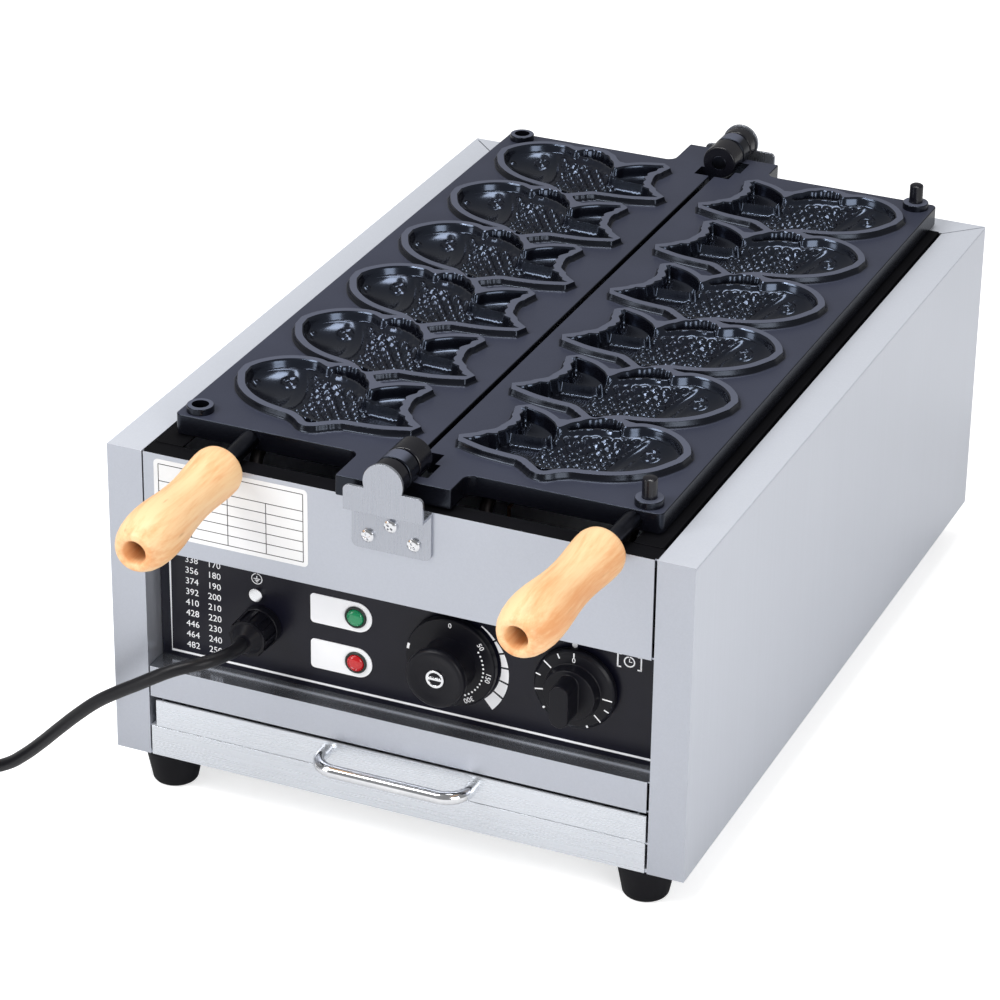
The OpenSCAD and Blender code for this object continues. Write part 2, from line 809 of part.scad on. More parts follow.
module drawer_runners() {
    front = side_return_d + seam;
    back = body_d - 2 * sheet - seam;
    color("silver") both() {
        span([tray_w / 2 - 6, front, runner_z], [inner_x, back, runner_z + sheet]);
        span([inner_x - sheet, front, runner_z], [inner_x, back, runner_z + return_w]);
    }
}

module lamp() {
    bezel_z = panel_t + plaque_t;
    cylinder(r = lamp_stem_r, h = bezel_z);
    translate([0, 0, bezel_z]) cylinder(r = lamp_d / 2, h = lamp_bezel_t);
    translate([0, 0, bezel_z + lamp_bezel_t]) intersection() {
        translate([0, 0, lamp_dome_h - lamp_d]) sphere(r = lamp_d, $fn = 64);
        cylinder(r = lamp_d / 2 - 1, h = 2 * lamp_dome_h);
    }
}

module power_lamp() {
    color("limegreen") on_panel(-lamp_x, lamp_z0 + lamp_pitch) translate([0, 0, -panel_t]) lamp();
}

module heat_lamp() {
    color("red") on_panel(-lamp_x, lamp_z0) translate([0, 0, -panel_t]) lamp();
}

module lamp_holders() {
    holder_l = 16;
    tag = [0.8, 4.8, 7];
    color("ivory") for (i = [0, 1])
        on_panel(-lamp_x, lamp_z0 + i * lamp_pitch) translate([0, 0, -panel_t - holder_l]) {
            cylinder(r = lamp_d / 2 + 2, h = holder_l);
            for (side = [-3, 3]) translate([side - tag[0] / 2, -tag[1] / 2, -tag[2]]) cube(tag);
        }
}

module lamp_plaques() {
    color("white") for (i = [0, 1])
        on_panel(-lamp_x, lamp_z0 + i * lamp_pitch) linear_extrude(plaque_t) difference() {
            union() {
                circle(plaque_h / 2);
                translate([-plaque_l, -plaque_h / 2]) square([plaque_l, plaque_h]);
            }
            circle(lamp_stem_r + running_gap);
        }
}

module control_body(width, height, depth) {
    difference() {
        union() {
            translate([-width / 2, -height / 2, -panel_t - depth]) cube([width, height, depth]);
            translate([0, 0, -panel_t]) cylinder(r = bush_r, h = panel_t + 1.5);
        }
        translate([0, 0, -panel_t - shaft_depth]) cylinder(r = shaft_r + running_gap, h = depth);
    }
}

module control_shaft(reach) {
    back = -panel_t - shaft_depth + rest_gap;
    translate([0, 0, back]) cylinder(r = shaft_r, h = reach - back);
}

module thermostat_body() {
    color("ivory") on_panel(thermostat_x, thermostat_z) control_body(36, 30, thermostat_depth);
}

module timer_body() {
    color("ivory") on_panel(timer_x, timer_z) control_body(44, 44, 36);
}

module thermostat_bulb() {
    bulb_x = 1.5 * heater_pitch;
    bulb_z = heater_z - heater_r - rest_gap + bulb_r;
    bulb_y = support_y[0] - 20;
    back_z = thermostat_z + 8;
    color("peru") {
        rod_y(bulb_x, bulb_z, bulb_y, bulb_y + bulb_l, bulb_r);
        rod_y(bulb_x, bulb_z, heater_leg_y, bulb_y, capillary_r);
        for (z = [back_z, bulb_z]) translate([bulb_x, heater_leg_y, z]) sphere(capillary_r);
        translate([bulb_x, heater_leg_y, back_z]) cylinder(r = capillary_r, h = bulb_z - back_z);
        rod_y(bulb_x, back_z, recess_d + panel_t + thermostat_depth, heater_leg_y, capillary_r);
    }
}

module earth_screw() {
    nut_t = 3.2;
    color("silver") on_panel(earth_x, earth_z) {
        cylinder(r = 4.3, h = 2.4);
        translate([0, 0, -panel_t - nut_t - 2.8]) cylinder(r = earth_r, h = panel_t + nut_t + 2.8);
        translate([0, 0, -panel_t - nut_t]) difference() {
            hexagon(7, nut_t);
            translate([0, 0, -cut]) cylinder(r = earth_r + running_gap, h = nut_t + 2 * cut);
        }
    }
}

module gland_body() {
    color("black") on_panel(-gland_x, gland_z) {
        cylinder(r = gland_d / 2, h = gland_flange_t);
        translate([0, 0, -panel_t - 8]) cylinder(r = gland_stem_r, h = panel_t + 8);
        translate([0, 0, gland_flange_t]) cylinder(r = gland_stem_r - 1, h = gland_thread_l);
    }
}

module gland_nut() {
    color("black") on_panel(-gland_x, gland_z) translate([0, 0, gland_flange_t]) difference() {
        union() {
            cylinder(r = gland_d / 2 - 1.5, h = gland_grip_l);
            translate([0, 0, gland_grip_l])
                cylinder(r1 = gland_d / 2 - 3, r2 = cord_r + 2, h = gland_nut_l - gland_grip_l);
            for (a = [0:30:330])
                rotate([0, 0, a]) translate([gland_d / 2 - 2, -1, 0]) cube([1.5, 2, gland_grip_l - 1]);
        }
        translate([0, 0, -cut]) cylinder(r = gland_stem_r - 1 + running_gap, h = gland_thread_l + 0.2 + cut);
    }
}

module gland_locknut() {
    color("black") on_panel(-gland_x, gland_z) translate([0, 0, -panel_t - 5]) difference() {
        hexagon(2 * gland_stem_r + 6, 5);
        translate([0, 0, -cut]) cylinder(r = gland_stem_r + running_gap, h = 5 + 2 * cut);
    }
}

module fish_cavity() {
    row = fish_across + 1;
    last = stations - 1;
    grid = [for (k = [0:last], j = [0:fish_across]) fish_point(k, j)];
    loop = concat(
        [for (k = [0:last]) k * row],
        [for (j = [1:fish_across]) last * row + j],
        [for (k = [last - 1:-1:0]) k * row + fish_across],
        [for (j = [fish_across - 1:-1:1]) j]
    );
    n = len(loop);
    lid = [for (i = loop) grid[i] + [0, 0, cut]];
    first = len(grid);
    floor_faces = [for (k = [0:last - 1], j = [0:fish_across - 1])
        let (a = k * row + j)
        each [[a, a + row, a + row + 1], [a, a + row + 1, a + 1]]];
    skirt_faces = [for (i = [0:n - 1])
        let (m = (i + 1) % n)
        [loop[i], first + i, first + m, loop[m]]];
    polyhedron(
        concat(grid, lid),
        concat(floor_faces, skirt_faces, [[for (i = [n - 1:-1:0]) first + i]])
    );
}

module fish_eye() {
    t = 0.82;
    sink = fish_depth * trough(t) * 0.98;
    translate([fish_x0 + eye_a, eye_b, -sink])
        rotate_extrude() translate([eye_r, 0]) circle(eye_groove_r, $fn = 24);
}

module fish_rim() {
    outline = concat(
        [for (i = rim_picks_belly) belly_edge[len(belly_edge) - 1 - i]],
        [for (i = [len(back_edge) - 1:-1:0]) if (len(search(i, rim_picks_back)) > 0) back_edge[i]],
        [for (i = [len(rim_picks_tail) - 1:-1:0]) tail_edge[rim_picks_tail[i]]]
    );
    translate([fish_x0, 0, 0]) linear_extrude(rim_h) polygon(smooth_loop(grown(outline, rim_w)));
}

module fish_row() {
    for (i = [0:fish_count - 1]) translate([0, fish_y0 + i * fish_pitch, 0]) children();
}

module knuckle(y0, length, extra) {
    rod_y(0, hinge_z, y0 - min(extra, 0.25), y0 + length + min(extra, 0.25), knuckle_r + extra);
}

module left_knuckles(extra = 0) {
    front_rear() {
        knuckle(knuckle_y0, knuckle_a, extra);
        knuckle(knuckle_c_y0, knuckle_c, extra);
    }
}

module right_knuckle(extra = 0) {
    front_rear() knuckle(knuckle_b_y0, knuckle_b, extra);
}

module plate_slab(lug_y) {
    lug_x1 = plate_x0 + lug_w;
    span([plate_x0, plate_setback, plate_z0], [plate_x1, plate_y1, plate_z1]);
    front_rear() translate([0, 0, plate_z0]) linear_extrude(plate_t) {
        translate([plate_x0, lug_y]) square([lug_w, plate_setback - lug_y + cut]);
        difference() {
            translate([lug_x1 - cut, plate_setback - lug_fillet_r]) square(lug_fillet_r + cut);
            translate([lug_x1 + lug_fillet_r, plate_setback - lug_fillet_r]) circle(lug_fillet_r);
        }
    }
    translate([0, 0, plate_z1]) fish_row() fish_rim();
}

module boss(r) {
    translate([0, 0, plate_z1 - cut]) cylinder(r = r, h = rim_h + cut);
}

module locator_places() {
    front_rear() translate([locator_x, locator_y, 0]) children();
}

module handle_frame(x, turn) {
    translate([x, plate_setback, rod_z]) rotate([90 + handle_tilt, 0, -turn]) children();
}

module plate_cuts(handle_x, turn) {
    translate([0, 0, rim_z]) fish_row() {
        fish_cavity();
        fish_eye();
    }
    handle_frame(handle_x, turn)
        translate([0, 0, -rod_embed]) cylinder(r = rod_r + running_gap, h = rod_embed + 3);
    rod_y(0, hinge_z, -bracket_reach - cut, 2 * hinge_mid + bracket_reach + cut, pin_r + running_gap);
}

module left_mould_plate() {
    color("darkslategray") difference() {
        union() {
            difference() {
                mirror([1, 0, 0]) {
                    plate_slab(left_lug_y);
                    locator_places() boss(socket_boss_r);
                }
                right_knuckle(knuckle_clearance);
            }
            left_knuckles();
        }
        mirror([1, 0, 0]) {
            plate_cuts(left_handle_x, 0);
            locator_places() translate([0, 0, rim_z - socket_depth])
                cylinder(r = socket_d / 2, h = 2 * socket_depth);
        }
    }
}

module right_mould_plate() {
    color("darkslategray") difference() {
        union() {
            difference() {
                union() {
                    plate_slab(right_lug_y);
                    locator_places() boss(locator_boss_r);
                }
                left_knuckles(knuckle_clearance);
            }
            right_knuckle();
        }
        plate_cuts(right_handle_x, right_handle_turn);
        locator_places() translate([0, 0, plate_z1])
            cylinder(r = locator_d / 2 + running_gap, h = 2 * rim_h);
    }
}

module locating_pins() {
    tip_r = locator_d / 2;
    color("silver") locator_places() translate([0, 0, plate_z1]) {
        cylinder(r = tip_r, h = rim_h + locator_h - tip_r);
        translate([0, 0, rim_h + locator_h - tip_r]) sphere(tip_r);
    }
}

module handle_rod() {
    shoulder = grip_end - grip_hole_depth - 0.5;
    translate([0, 0, -rod_embed + rest_gap]) cylinder(r = rod_r, h = shoulder + rod_embed - rest_gap);
    cylinder(d = grip_stud_d, h = grip_end - 12);
}

module grip() {
    waist = grip_d / 2 - 3.2;
    profile = smooth([
        [12.4, 0], [15.2, 2], [15.8, 8], [15.2, 20], [waist, 38], [waist + 1, 55], [grip_d / 2 - 0.5, 70],
        [grip_d / 2, 80], [grip_d / 2 - 1.2, 92], [13.6, grip_l - 4], [10.6, grip_l]
    ]);
    translate([0, 0, rod_bare]) difference() {
        rotate_extrude() polygon(concat([[0, 0]], profile, [[0, grip_l]]));
        translate([0, 0, -cut]) cylinder(r = rod_r + running_gap, h = grip_l + 2 * cut);
        translate([0, 0, grip_l - grip_hole_depth]) cylinder(d = grip_hole_d, h = grip_hole_depth + cut);
    }
}

module grip_nut() {
    translate([0, 0, grip_end - grip_hole_depth]) difference() {
        hexagon(grip_nut_w, grip_nut_t);
        translate([0, 0, -cut]) cylinder(d = grip_stud_d + 2 * running_gap, h = grip_nut_t + 2 * cut);
    }
}

module left_handle_frame() {
    mirror([1, 0, 0]) handle_frame(left_handle_x, 0) children();
}

module left_handle_rod() {
    color("silver") left_handle_frame() handle_rod();
}

module left_grip() {
    color("burlywood") left_handle_frame() grip();
}

module left_grip_nut() {
    color("gray") left_handle_frame() grip_nut();
}

module right_handle_rod() {
    color("silver") handle_frame(right_handle_x, right_handle_turn) handle_rod();
}

module right_grip() {
    color("burlywood") handle_frame(right_handle_x, right_handle_turn) grip();
}

module right_grip_nut() {
    color("gray") handle_frame(right_handle_x, right_handle_turn) grip_nut();
}

module bow_legs(r, y0, y1) {
    for (side = [-1, 1]) rod_y(bow_x + side * bow_w / 2, bow_z, y0, y1, r);
}

module drip_tray() {
    low = [-tray_w / 2, sheet, tray_z0];
    high = [tray_w / 2, sheet + tray_l, tray_z0 + tray_h];
    wall = [tray_wall, tray_wall, tray_wall];
    color("silver") difference() {
        span(low, high);
        span(low + wall, high - [tray_wall, tray_wall, -cut]);
        bow_legs(2.2, 0, 9);
    }
}

module drawer_front() {
    edge = drawer_front_w / 2;
    color("lightsteelblue") difference() {
        span(
            [drawer_front_x - edge, 0, drawer_front_z0],
            [drawer_front_x + edge, sheet, drawer_front_z0 + drawer_front_h]
        );
        bow_legs(2.2, -cut, 9);
    }
}

module drawer_handle() {
    r = bow_d / 2;
    turn = bow_reach - r;
    color("white") difference() {
        union() {
            bow_legs(r, -bow_reach + turn, 0);
            translate([bow_x - bow_w / 2 + turn, -bow_reach, bow_z]) rotate([0, 90, 0])
                cylinder(r = r, h = bow_w - 2 * turn);
            for (side = [-1, 1])
                translate([bow_x + side * (bow_w / 2 - turn), -bow_reach + turn, bow_z])
                    rotate([0, 0, side > 0 ? 270 : 180])
                        rotate_extrude(angle = 90) translate([turn, 0]) circle(r);
        }
        bow_legs(1.6 + running_gap, -4, cut);
    }
}

module drawer_screws() {
    color("gray") {
        bow_legs(3.5, sheet + tray_wall, sheet + tray_wall + 2);
        bow_legs(1.6, -3.5, sheet + tray_wall);
    }
}

module knob_profile(points) {
    rotate_extrude() difference() {
        polygon(points);
        square([shaft_r + running_gap / 2, 2 * knob_bore]);
    }
}

module thermostat_skirt() {
    r = thermostat_d / 2;
    color("black") on_panel(thermostat_x, thermostat_z) knob_profile([
        [0, skirt_z0], [r, skirt_z0], [r, skirt_z0 + skirt_t - 1], [r - 1, skirt_z0 + skirt_t],
        [0, skirt_z0 + skirt_t]
    ]);
}

module thermostat_cap() {
    r = cap_d / 2;
    z0 = skirt_z0 + skirt_t;
    color("black") on_panel(thermostat_x, thermostat_z) difference() {
        knob_profile([
            [0, z0], [r - 1, z0], [r - 3, z0 + 3], [r - 3, knob_reach - 9], [r, knob_reach - 6],
            [r, knob_reach - 1.5], [r - 1.5, knob_reach], [r - 4, knob_reach], [r - 7, knob_reach - 1.5],
            [0, knob_reach - 1.5]
        ]);
        translate([0, 0, knob_reach - 3.5]) cylinder(r = 5.8, h = 5);
    }
}

module thermostat_insert() {
    color("silver") on_panel(thermostat_x, thermostat_z) translate([0, 0, knob_reach - 3.5]) difference() {
        cylinder(r = 5.7, h = 2.6);
        translate([0, 0, 1.8]) difference() {
            cylinder(r = 4.2, h = 2);
            translate([-5, -0.8, -cut]) cube([10, 1.6, 5]);
        }
    }
}

module thermostat_shaft() {
    color("gray") on_panel(thermostat_x, thermostat_z) control_shaft(knob_reach - 8);
}

module timer_knob() {
    r = timer_d / 2;
    bar_w = 11.5;
    bar_l = 27;
    color("black") on_panel(timer_x, timer_z) {
        knob_profile([
            [0, skirt_z0], [r, skirt_z0], [r, skirt_z0 + 3], [r - 2, skirt_z0 + skirt_t],
            [17, skirt_z0 + skirt_t], [16, knob_reach - 15], [0, knob_reach - 15]
        ]);
        difference() {
            translate([0, 0, knob_reach - 15]) linear_extrude(15) {
                square([bar_w, bar_l - bar_w], center = true);
                for (side = [-1, 1]) translate([0, side * (bar_l - bar_w) / 2]) circle(bar_w / 2);
            }
            cylinder(r = shaft_r + running_gap / 2, h = knob_reach - 7);
        }
    }
}

module timer_shaft() {
    color("gray") on_panel(timer_x, timer_z) control_shaft(knob_reach - 8);
}

module power_cord() {
    color("black") tube(route, cord_r, 8);
}

function coil_place(i) =
    let (
        turn = i / coil_rings,
        half = (coil_turns - 0.5) / 2,
        inward = min(turn, half),
        outward = max(turn - half - 0.5, 0),
        climb = min(max(turn - half, 0), 0.5) * 2,
        radius = coil_r - coil_pitch * (inward - outward),
        angle = 90 + 360 * turn
    )
    [coil_x + radius * cos(angle), coil_y + radius * sin(angle), -foot_h + cord_r + coil_layer * climb];

coil_path = [for (i = [0:coil_turns * coil_rings]) coil_place(i)];
plug_z = -foot_h + plug_h / 2;
coil_out = coil_path[len(coil_path) - 1];
plug_y = coil_out[1] - tail_l;
coil_tail = [
    coil_out + [0, -14, -0.5], coil_out + [0, -28, -1.8],
    [coil_out[0], plug_y + coil_lead, plug_z], [coil_out[0], plug_y, plug_z]
];
coil_gap = min([for (i = [0:len(coil_path) - 1], j = [0:len(coil_path) - 1])
    if (j - i > coil_rings / 2) norm(coil_path[i] - coil_path[j])]) - cord_d;

module cord_coil() {
    echo(coil_least_gap = coil_gap);
    color("black") tube(concat([route[len(route) - 1]], coil_path, coil_tail), cord_r, coil_sides);
}

module plug_frame() {
    translate([coil_out[0], plug_y, plug_z]) rotate([90, 0, 0]) children();
}

module plug_body() {
    color("black") plug_frame() {
        cylinder(r1 = cord_r + 0.6, r2 = cord_r + 2.5, h = relief_l);
        translate([0, 0, relief_l]) linear_extrude(plug_l) {
            square([plug_w, plug_h - 8], center = true);
            square([plug_w - 8, plug_h], center = true);
            for (x = [-1, 1], y = [-1, 1]) translate([x * (plug_w / 2 - 4), y * (plug_h / 2 - 4)]) circle(4);
        }
    }
}

module plug_blades() {
    color("gold") plug_frame() translate([0, 0, relief_l + plug_l]) {
        for (side = [-1, 1]) translate([side * 6.35 - 0.75, -3.15, 0]) cube([1.5, 6.3, 17.5]);
        translate([0, -6, 0]) cylinder(r = 2.4, h = 20);
    }
}

module placed() {
    translate([0, -middle_y, foot_h]) children();
}

placed() left_side_panel();
placed() right_side_panel();
placed() back_panel();
placed() base_pan();
placed() bottom_rail();
placed() front_fascia();
placed() recess_ledge();
placed() control_panel();
placed() data_plate();
placed() plate_rails();
placed() left_heating_element();
placed() right_heating_element();
placed() element_supports();
placed() heat_shield();
placed() terminal_block();
placed() front_hinge_bracket();
placed() rear_hinge_bracket();
placed() hinge_pins();
placed() bracket_screws();
placed() rubber_feet();
placed() foot_screws();
placed() drawer_runners();
placed() power_lamp();
placed() heat_lamp();
placed() lamp_holders();
placed() lamp_plaques();
placed() thermostat_body();
placed() thermostat_bulb();
placed() timer_body();
placed() earth_screw();
placed() gland_body();
placed() gland_nut();
placed() gland_locknut();
placed() panel_screws();
placed() left_mould_plate();
placed() left_handle_rod();
placed() left_grip();
placed() left_grip_nut();
placed() right_mould_plate();
placed() locating_pins();
placed() right_handle_rod();
placed() right_grip();
placed() right_grip_nut();
placed() drip_tray();
placed() drawer_front();
placed() drawer_handle();
placed() drawer_screws();
placed() thermostat_skirt();
placed() thermostat_cap();
placed() thermostat_insert();
placed() thermostat_shaft();
placed() timer_knob();
placed() timer_shaft();
placed() power_cord();
placed() cord_coil();
placed() plug_body();
placed() plug_blades();
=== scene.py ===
"""Looks of a twin-plate fish-cake maker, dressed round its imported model.

Lengths in the classes are bench millimetres: x to the right, y back from the casing's front
face and z up from the casing's underside. The function spot turns them into the row frame.
"""

import logging
import math
from collections.abc import Callable, Iterator, Sequence
from contextlib import contextmanager
from dataclasses import dataclass, field
from enum import Enum

import bmesh
import bpy
import numpy as np
from mathutils import Matrix, Vector


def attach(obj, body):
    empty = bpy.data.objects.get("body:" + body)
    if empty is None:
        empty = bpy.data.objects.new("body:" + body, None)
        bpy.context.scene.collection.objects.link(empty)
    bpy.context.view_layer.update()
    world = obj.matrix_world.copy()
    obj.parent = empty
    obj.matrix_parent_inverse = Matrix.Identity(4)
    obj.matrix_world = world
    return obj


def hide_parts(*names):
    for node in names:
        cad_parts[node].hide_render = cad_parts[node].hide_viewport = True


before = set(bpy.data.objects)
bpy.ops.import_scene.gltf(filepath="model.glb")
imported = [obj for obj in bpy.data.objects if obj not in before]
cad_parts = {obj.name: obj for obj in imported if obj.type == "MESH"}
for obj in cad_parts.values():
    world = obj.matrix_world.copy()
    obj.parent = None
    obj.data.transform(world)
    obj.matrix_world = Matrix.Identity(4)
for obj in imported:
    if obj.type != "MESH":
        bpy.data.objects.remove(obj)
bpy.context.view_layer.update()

MM = 0.001
MIDDLE_Y = 223.67047
FOOT_H = 24.0
HINGE_MID = 275.0
SAME_SPOT = 1e-6
THERMOSTAT_AT = (31.3, 103.0)
TIMER_AT = (109.0, 103.5)
PAINT = 0.04

log = logging.getLogger("fish_cake_maker")
Point = tuple[float, float, float]
Piece = bpy.types.Object


class Side(Enum):
    """Which half of the maker a piece belongs to."""

    LEFT = -1
    RIGHT = 1


class Carve(Enum):
    """What one solid does to another."""

    ADD = "UNION"
    CUT = "DIFFERENCE"


class Body(Enum):
    """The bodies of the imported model."""

    CASING = "casing"
    LEFT_PLATE = "left_plate"
    RIGHT_PLATE = "right_plate"
    DRAWER = "drawer"
    THERMOSTAT = "thermostat_knob"
    TIMER = "timer_dial"


def spot(x: float, y: float, z: float) -> Vector:
    """Turns bench millimetres into a point of the row frame.

    Args:
        x: Distance to the right of the middle.
        y: Distance behind the casing's front face.
        z: Height above the casing's underside.

    Returns:
        The point in metres.
    """
    return Vector((x, y - MIDDLE_Y, z + FOOT_H)) * MM


# Bench tools


def pick(piece: Piece) -> None:
    """Selects one object alone and makes it the active one."""
    for other in bpy.context.selected_objects:
        other.select_set(False)
    piece.select_set(True)
    bpy.context.view_layer.objects.active = piece


def settled(piece: Piece, name: str) -> Piece:
    """Names the active object and moves its place into its mesh.

    Args:
        piece: The object to settle.
        name: The name that it gets.

    Returns:
        The same object, at the origin.
    """
    piece.name = name
    pick(piece)
    bpy.ops.object.transform_apply(location=True, rotation=True, scale=True)
    return piece


@contextmanager
def editing(piece: Piece, kind: str = "VERT") -> Iterator[None]:
    """Opens a piece in edit mode with everything selected, and closes it again."""
    pick(piece)
    bpy.ops.object.mode_set(mode="EDIT")
    bpy.ops.mesh.select_mode(type=kind)
    bpy.ops.mesh.select_all(action="SELECT")
    try:
        yield
    finally:
        bpy.ops.object.mode_set(mode="OBJECT")


def face_out() -> None:
    """Selects the whole mesh in edit mode and turns its normals outwards."""
    bpy.ops.mesh.select_all(action="SELECT")
    bpy.ops.mesh.normals_make_consistent(inside=False)


def disc(points: Sequence[Vector]) -> Piece:
    """Moves the rim of a new flat disc to the points of an outline."""
    bpy.ops.mesh.primitive_circle_add(vertices=len(points), radius=1, fill_type="NGON")
    piece = bpy.context.object
    for vertex, point in zip(piece.data.vertices, points, strict=True):
        vertex.co = point
    return piece


def block(name: str, low: Point, high: Point) -> Piece:
    """Adds a box between two corners given in bench millimetres."""
    start, end = spot(*low), spot(*high)
    bpy.ops.mesh.primitive_cube_add(size=1, location=(start + end) / 2, scale=end - start)
    return settled(bpy.context.object, name)


def rod(name: str, start: Point, end: Point, radius: float, sides: int = 64) -> Piece:
    """Adds a round bar between two points given in bench millimetres."""
    a, b = spot(*start), spot(*end)
    axis = b - a
    bpy.ops.mesh.primitive_cylinder_add(
        vertices=sides,
        radius=radius * MM,
        depth=axis.length,
        location=(a + b) / 2,
        rotation=axis.to_track_quat("Z", "Y").to_euler(),
    )
    return settled(bpy.context.object, name)


def lofted(name: str, rings: Sequence[tuple[np.ndarray, float]]) -> Piece:
    """Cuts a flat outline from a disc and extrudes it upwards from ring to ring.

    Args:
        name: Name of the new piece.
        rings: Outlines (x, y) with the same number of points and their heights, upwards.

    Returns:
        The closed solid.
    """
    start, low = rings[0]
    piece = disc([spot(x, y, low) for x, y in start])
    with editing(piece, "FACE"):
        for (before, under), (after, over) in zip(rings, rings[1:], strict=False):
            bpy.ops.mesh.extrude_region_move(
                TRANSFORM_OT_translate={"value": (0, 0, (over - under) * MM)}
            )
            shape = bmesh.from_edit_mesh(piece.data)
            for vertex in (v for v in shape.verts if v.select):
                here = (vertex.co.x / MM, vertex.co.y / MM + MIDDLE_Y)
                nearest = int(((before - here) ** 2).sum(1).argmin())
                vertex.co = spot(*after[nearest], over)
            bmesh.update_edit_mesh(piece.data)
        face_out()
    return settled(piece, name)


def turned(
    name: str, profile: Sequence[tuple[float, float]], stand: Matrix, steps: int = 64
) -> Piece:
    """Spins a profile about its own Z axis and stands the result in its place.

    Args:
        name: Name of the new piece.
        profile: Points (radius, height) in millimetres.
        stand: Where the profile's axis and origin lie in the row frame.
        steps: Number of facets round the axis.

    Returns:
        The turned piece.
    """
    bpy.ops.mesh.primitive_plane_add(size=MM)
    piece = bpy.context.object
    places = [Vector((r, 0, h)) * MM for r, h in profile]
    with editing(piece):
        bpy.ops.mesh.merge(type="CENTER")
        bpy.ops.transform.translate(value=places[0])
        for before, after in zip(places, places[1:], strict=False):
            bpy.ops.mesh.extrude_region_move(TRANSFORM_OT_translate={"value": after - before})
        bpy.ops.mesh.select_all(action="SELECT")
        bpy.ops.mesh.spin(steps=steps, angle=2 * math.pi, center=(0, 0, 0), axis=(0, 0, 1))
        bpy.ops.mesh.select_all(action="SELECT")
        bpy.ops.mesh.remove_doubles(threshold=SAME_SPOT)
        face_out()
    piece.matrix_world = stand
    return settled(piece, name)


def applied(piece: Piece, kind: str, **settings: object) -> Piece:
    """Adds a modifier with its settings to a piece and applies it."""
    change = piece.modifiers.new(kind.lower(), kind)
    for key, value in settings.items():
        setattr(change, key, value)
    pick(piece)
    bpy.ops.object.modifier_apply(modifier=change.name)
    return piece


def carved(piece: Piece, tool: Piece, how: Carve) -> Piece:
    """Adds a solid to a piece, or cuts it away, and removes the tool.

    Args:
        piece: The piece that changes.
        tool: The solid that is added or cut.
        how: Whether the tool adds or cuts.

    Returns:
        The changed piece.
    """
    applied(
        piece, "BOOLEAN",
        operation=how.value, object=tool, solver="MANIFOLD", material_mode="TRANSFER",
    )  # fmt: skip
    bpy.data.objects.remove(tool)
    return piece


def eased(piece: Piece, width: float, segments: int = 2, angle: float = 40) -> Piece:
    """Rounds the sharp edges of a piece.

    Args:
        piece: The piece that changes.
        width: Width of the rounding in millimetres.
        segments: Number of facets across the rounding.
        angle: Edges that turn by more than this many degrees are rounded.

    Returns:
        The changed piece.
    """
    return applied(
        piece, "BEVEL",
        width=width * MM, segments=segments, limit_method="ANGLE", angle_limit=math.radians(angle),
    )  # fmt: skip


def smoothed(piece: Piece, angle: float = 35) -> Piece:
    """Shades a piece smooth below an angle, with the large faces kept flat."""
    pick(piece)
    bpy.ops.object.shade_smooth_by_angle(angle=math.radians(angle))
    return applied(piece, "WEIGHTED_NORMAL", keep_sharp=True)


def joined(name: str, pieces: Sequence[Piece]) -> Piece:
    """Joins several pieces into one object."""
    pick(pieces[0])
    for piece in pieces:
        piece.select_set(True)
    bpy.ops.object.join()
    pieces[0].name = name
    return pieces[0]


def copied(piece: Piece, name: str, shift: Vector) -> Piece:
    """Copies a piece with its own mesh and moves the copy."""
    twin = bpy.data.objects.new(name, piece.data.copy())
    bpy.context.scene.collection.objects.link(twin)
    twin.data.transform(Matrix.Translation(shift))
    return twin


def softened(
    node: str,
    width: float,
    segments: int = 2,
    angle: float = 35,
    cutters: Sequence[Piece] = (),
) -> Piece:
    """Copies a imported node, merges its loose triangles and rounds its edges.

    Args:
        node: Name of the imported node.
        width: Width of the rounding in millimetres.
        segments: Number of facets across the rounding.
        angle: Edges that turn by more than this many degrees are rounded.
        cutters: Solids that are cut away before the rounding.

    Returns:
        The softened copy, which replaces the node.
    """
    piece = bpy.data.objects.new(f"{node}_look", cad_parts[node].data.copy())
    bpy.context.scene.collection.objects.link(piece)
    piece.data.materials.clear()
    with editing(piece):
        bpy.ops.mesh.remove_doubles(threshold=SAME_SPOT)
        bpy.ops.mesh.dissolve_limited(angle_limit=math.radians(0.5))
    for cutter in cutters:
        carved(piece, cutter, Carve.CUT)
    eased(piece, width, segments, angle)
    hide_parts(node)
    return smoothed(piece)


def on_panel(x: float, z: float, y: float = 18.0) -> Matrix:
    """Gives the frame of a control, whose own Z axis comes out of the panel."""
    return Matrix.Translation(spot(x, y, z)) @ Matrix.Rotation(math.pi / 2, 4, "X")


def lettering(
    text: str, size: float, place: Point, turn: float = 0.0, thick: float = PAINT
) -> Piece:
    """Sets a plain number on a face that looks to the front.

    Args:
        text: The number.
        size: Height of the characters' body in millimetres.
        place: Middle of the number in bench millimetres.
        turn: Turn in degrees, clockwise as it is read.
        thick: Thickness of the paint in millimetres.

    Returns:
        The number as a mesh.
    """
    bpy.ops.object.text_add()
    piece = bpy.context.object
    piece.data.body = text
    piece.data.size = size * MM
    piece.data.extrude = thick * MM / 2
    piece.data.resolution_u = 3
    piece.data.align_x = "CENTER"
    piece.data.align_y = "CENTER"
    pick(piece)
    bpy.ops.object.convert(target="MESH")
    piece = bpy.context.object
    piece.matrix_world = (
        Matrix.Translation(spot(*place))
        @ Matrix.Rotation(math.pi / 2, 4, "X")
        @ Matrix.Rotation(-math.radians(turn), 4, "Z")
    )
    return settled(piece, f"number_{text}")


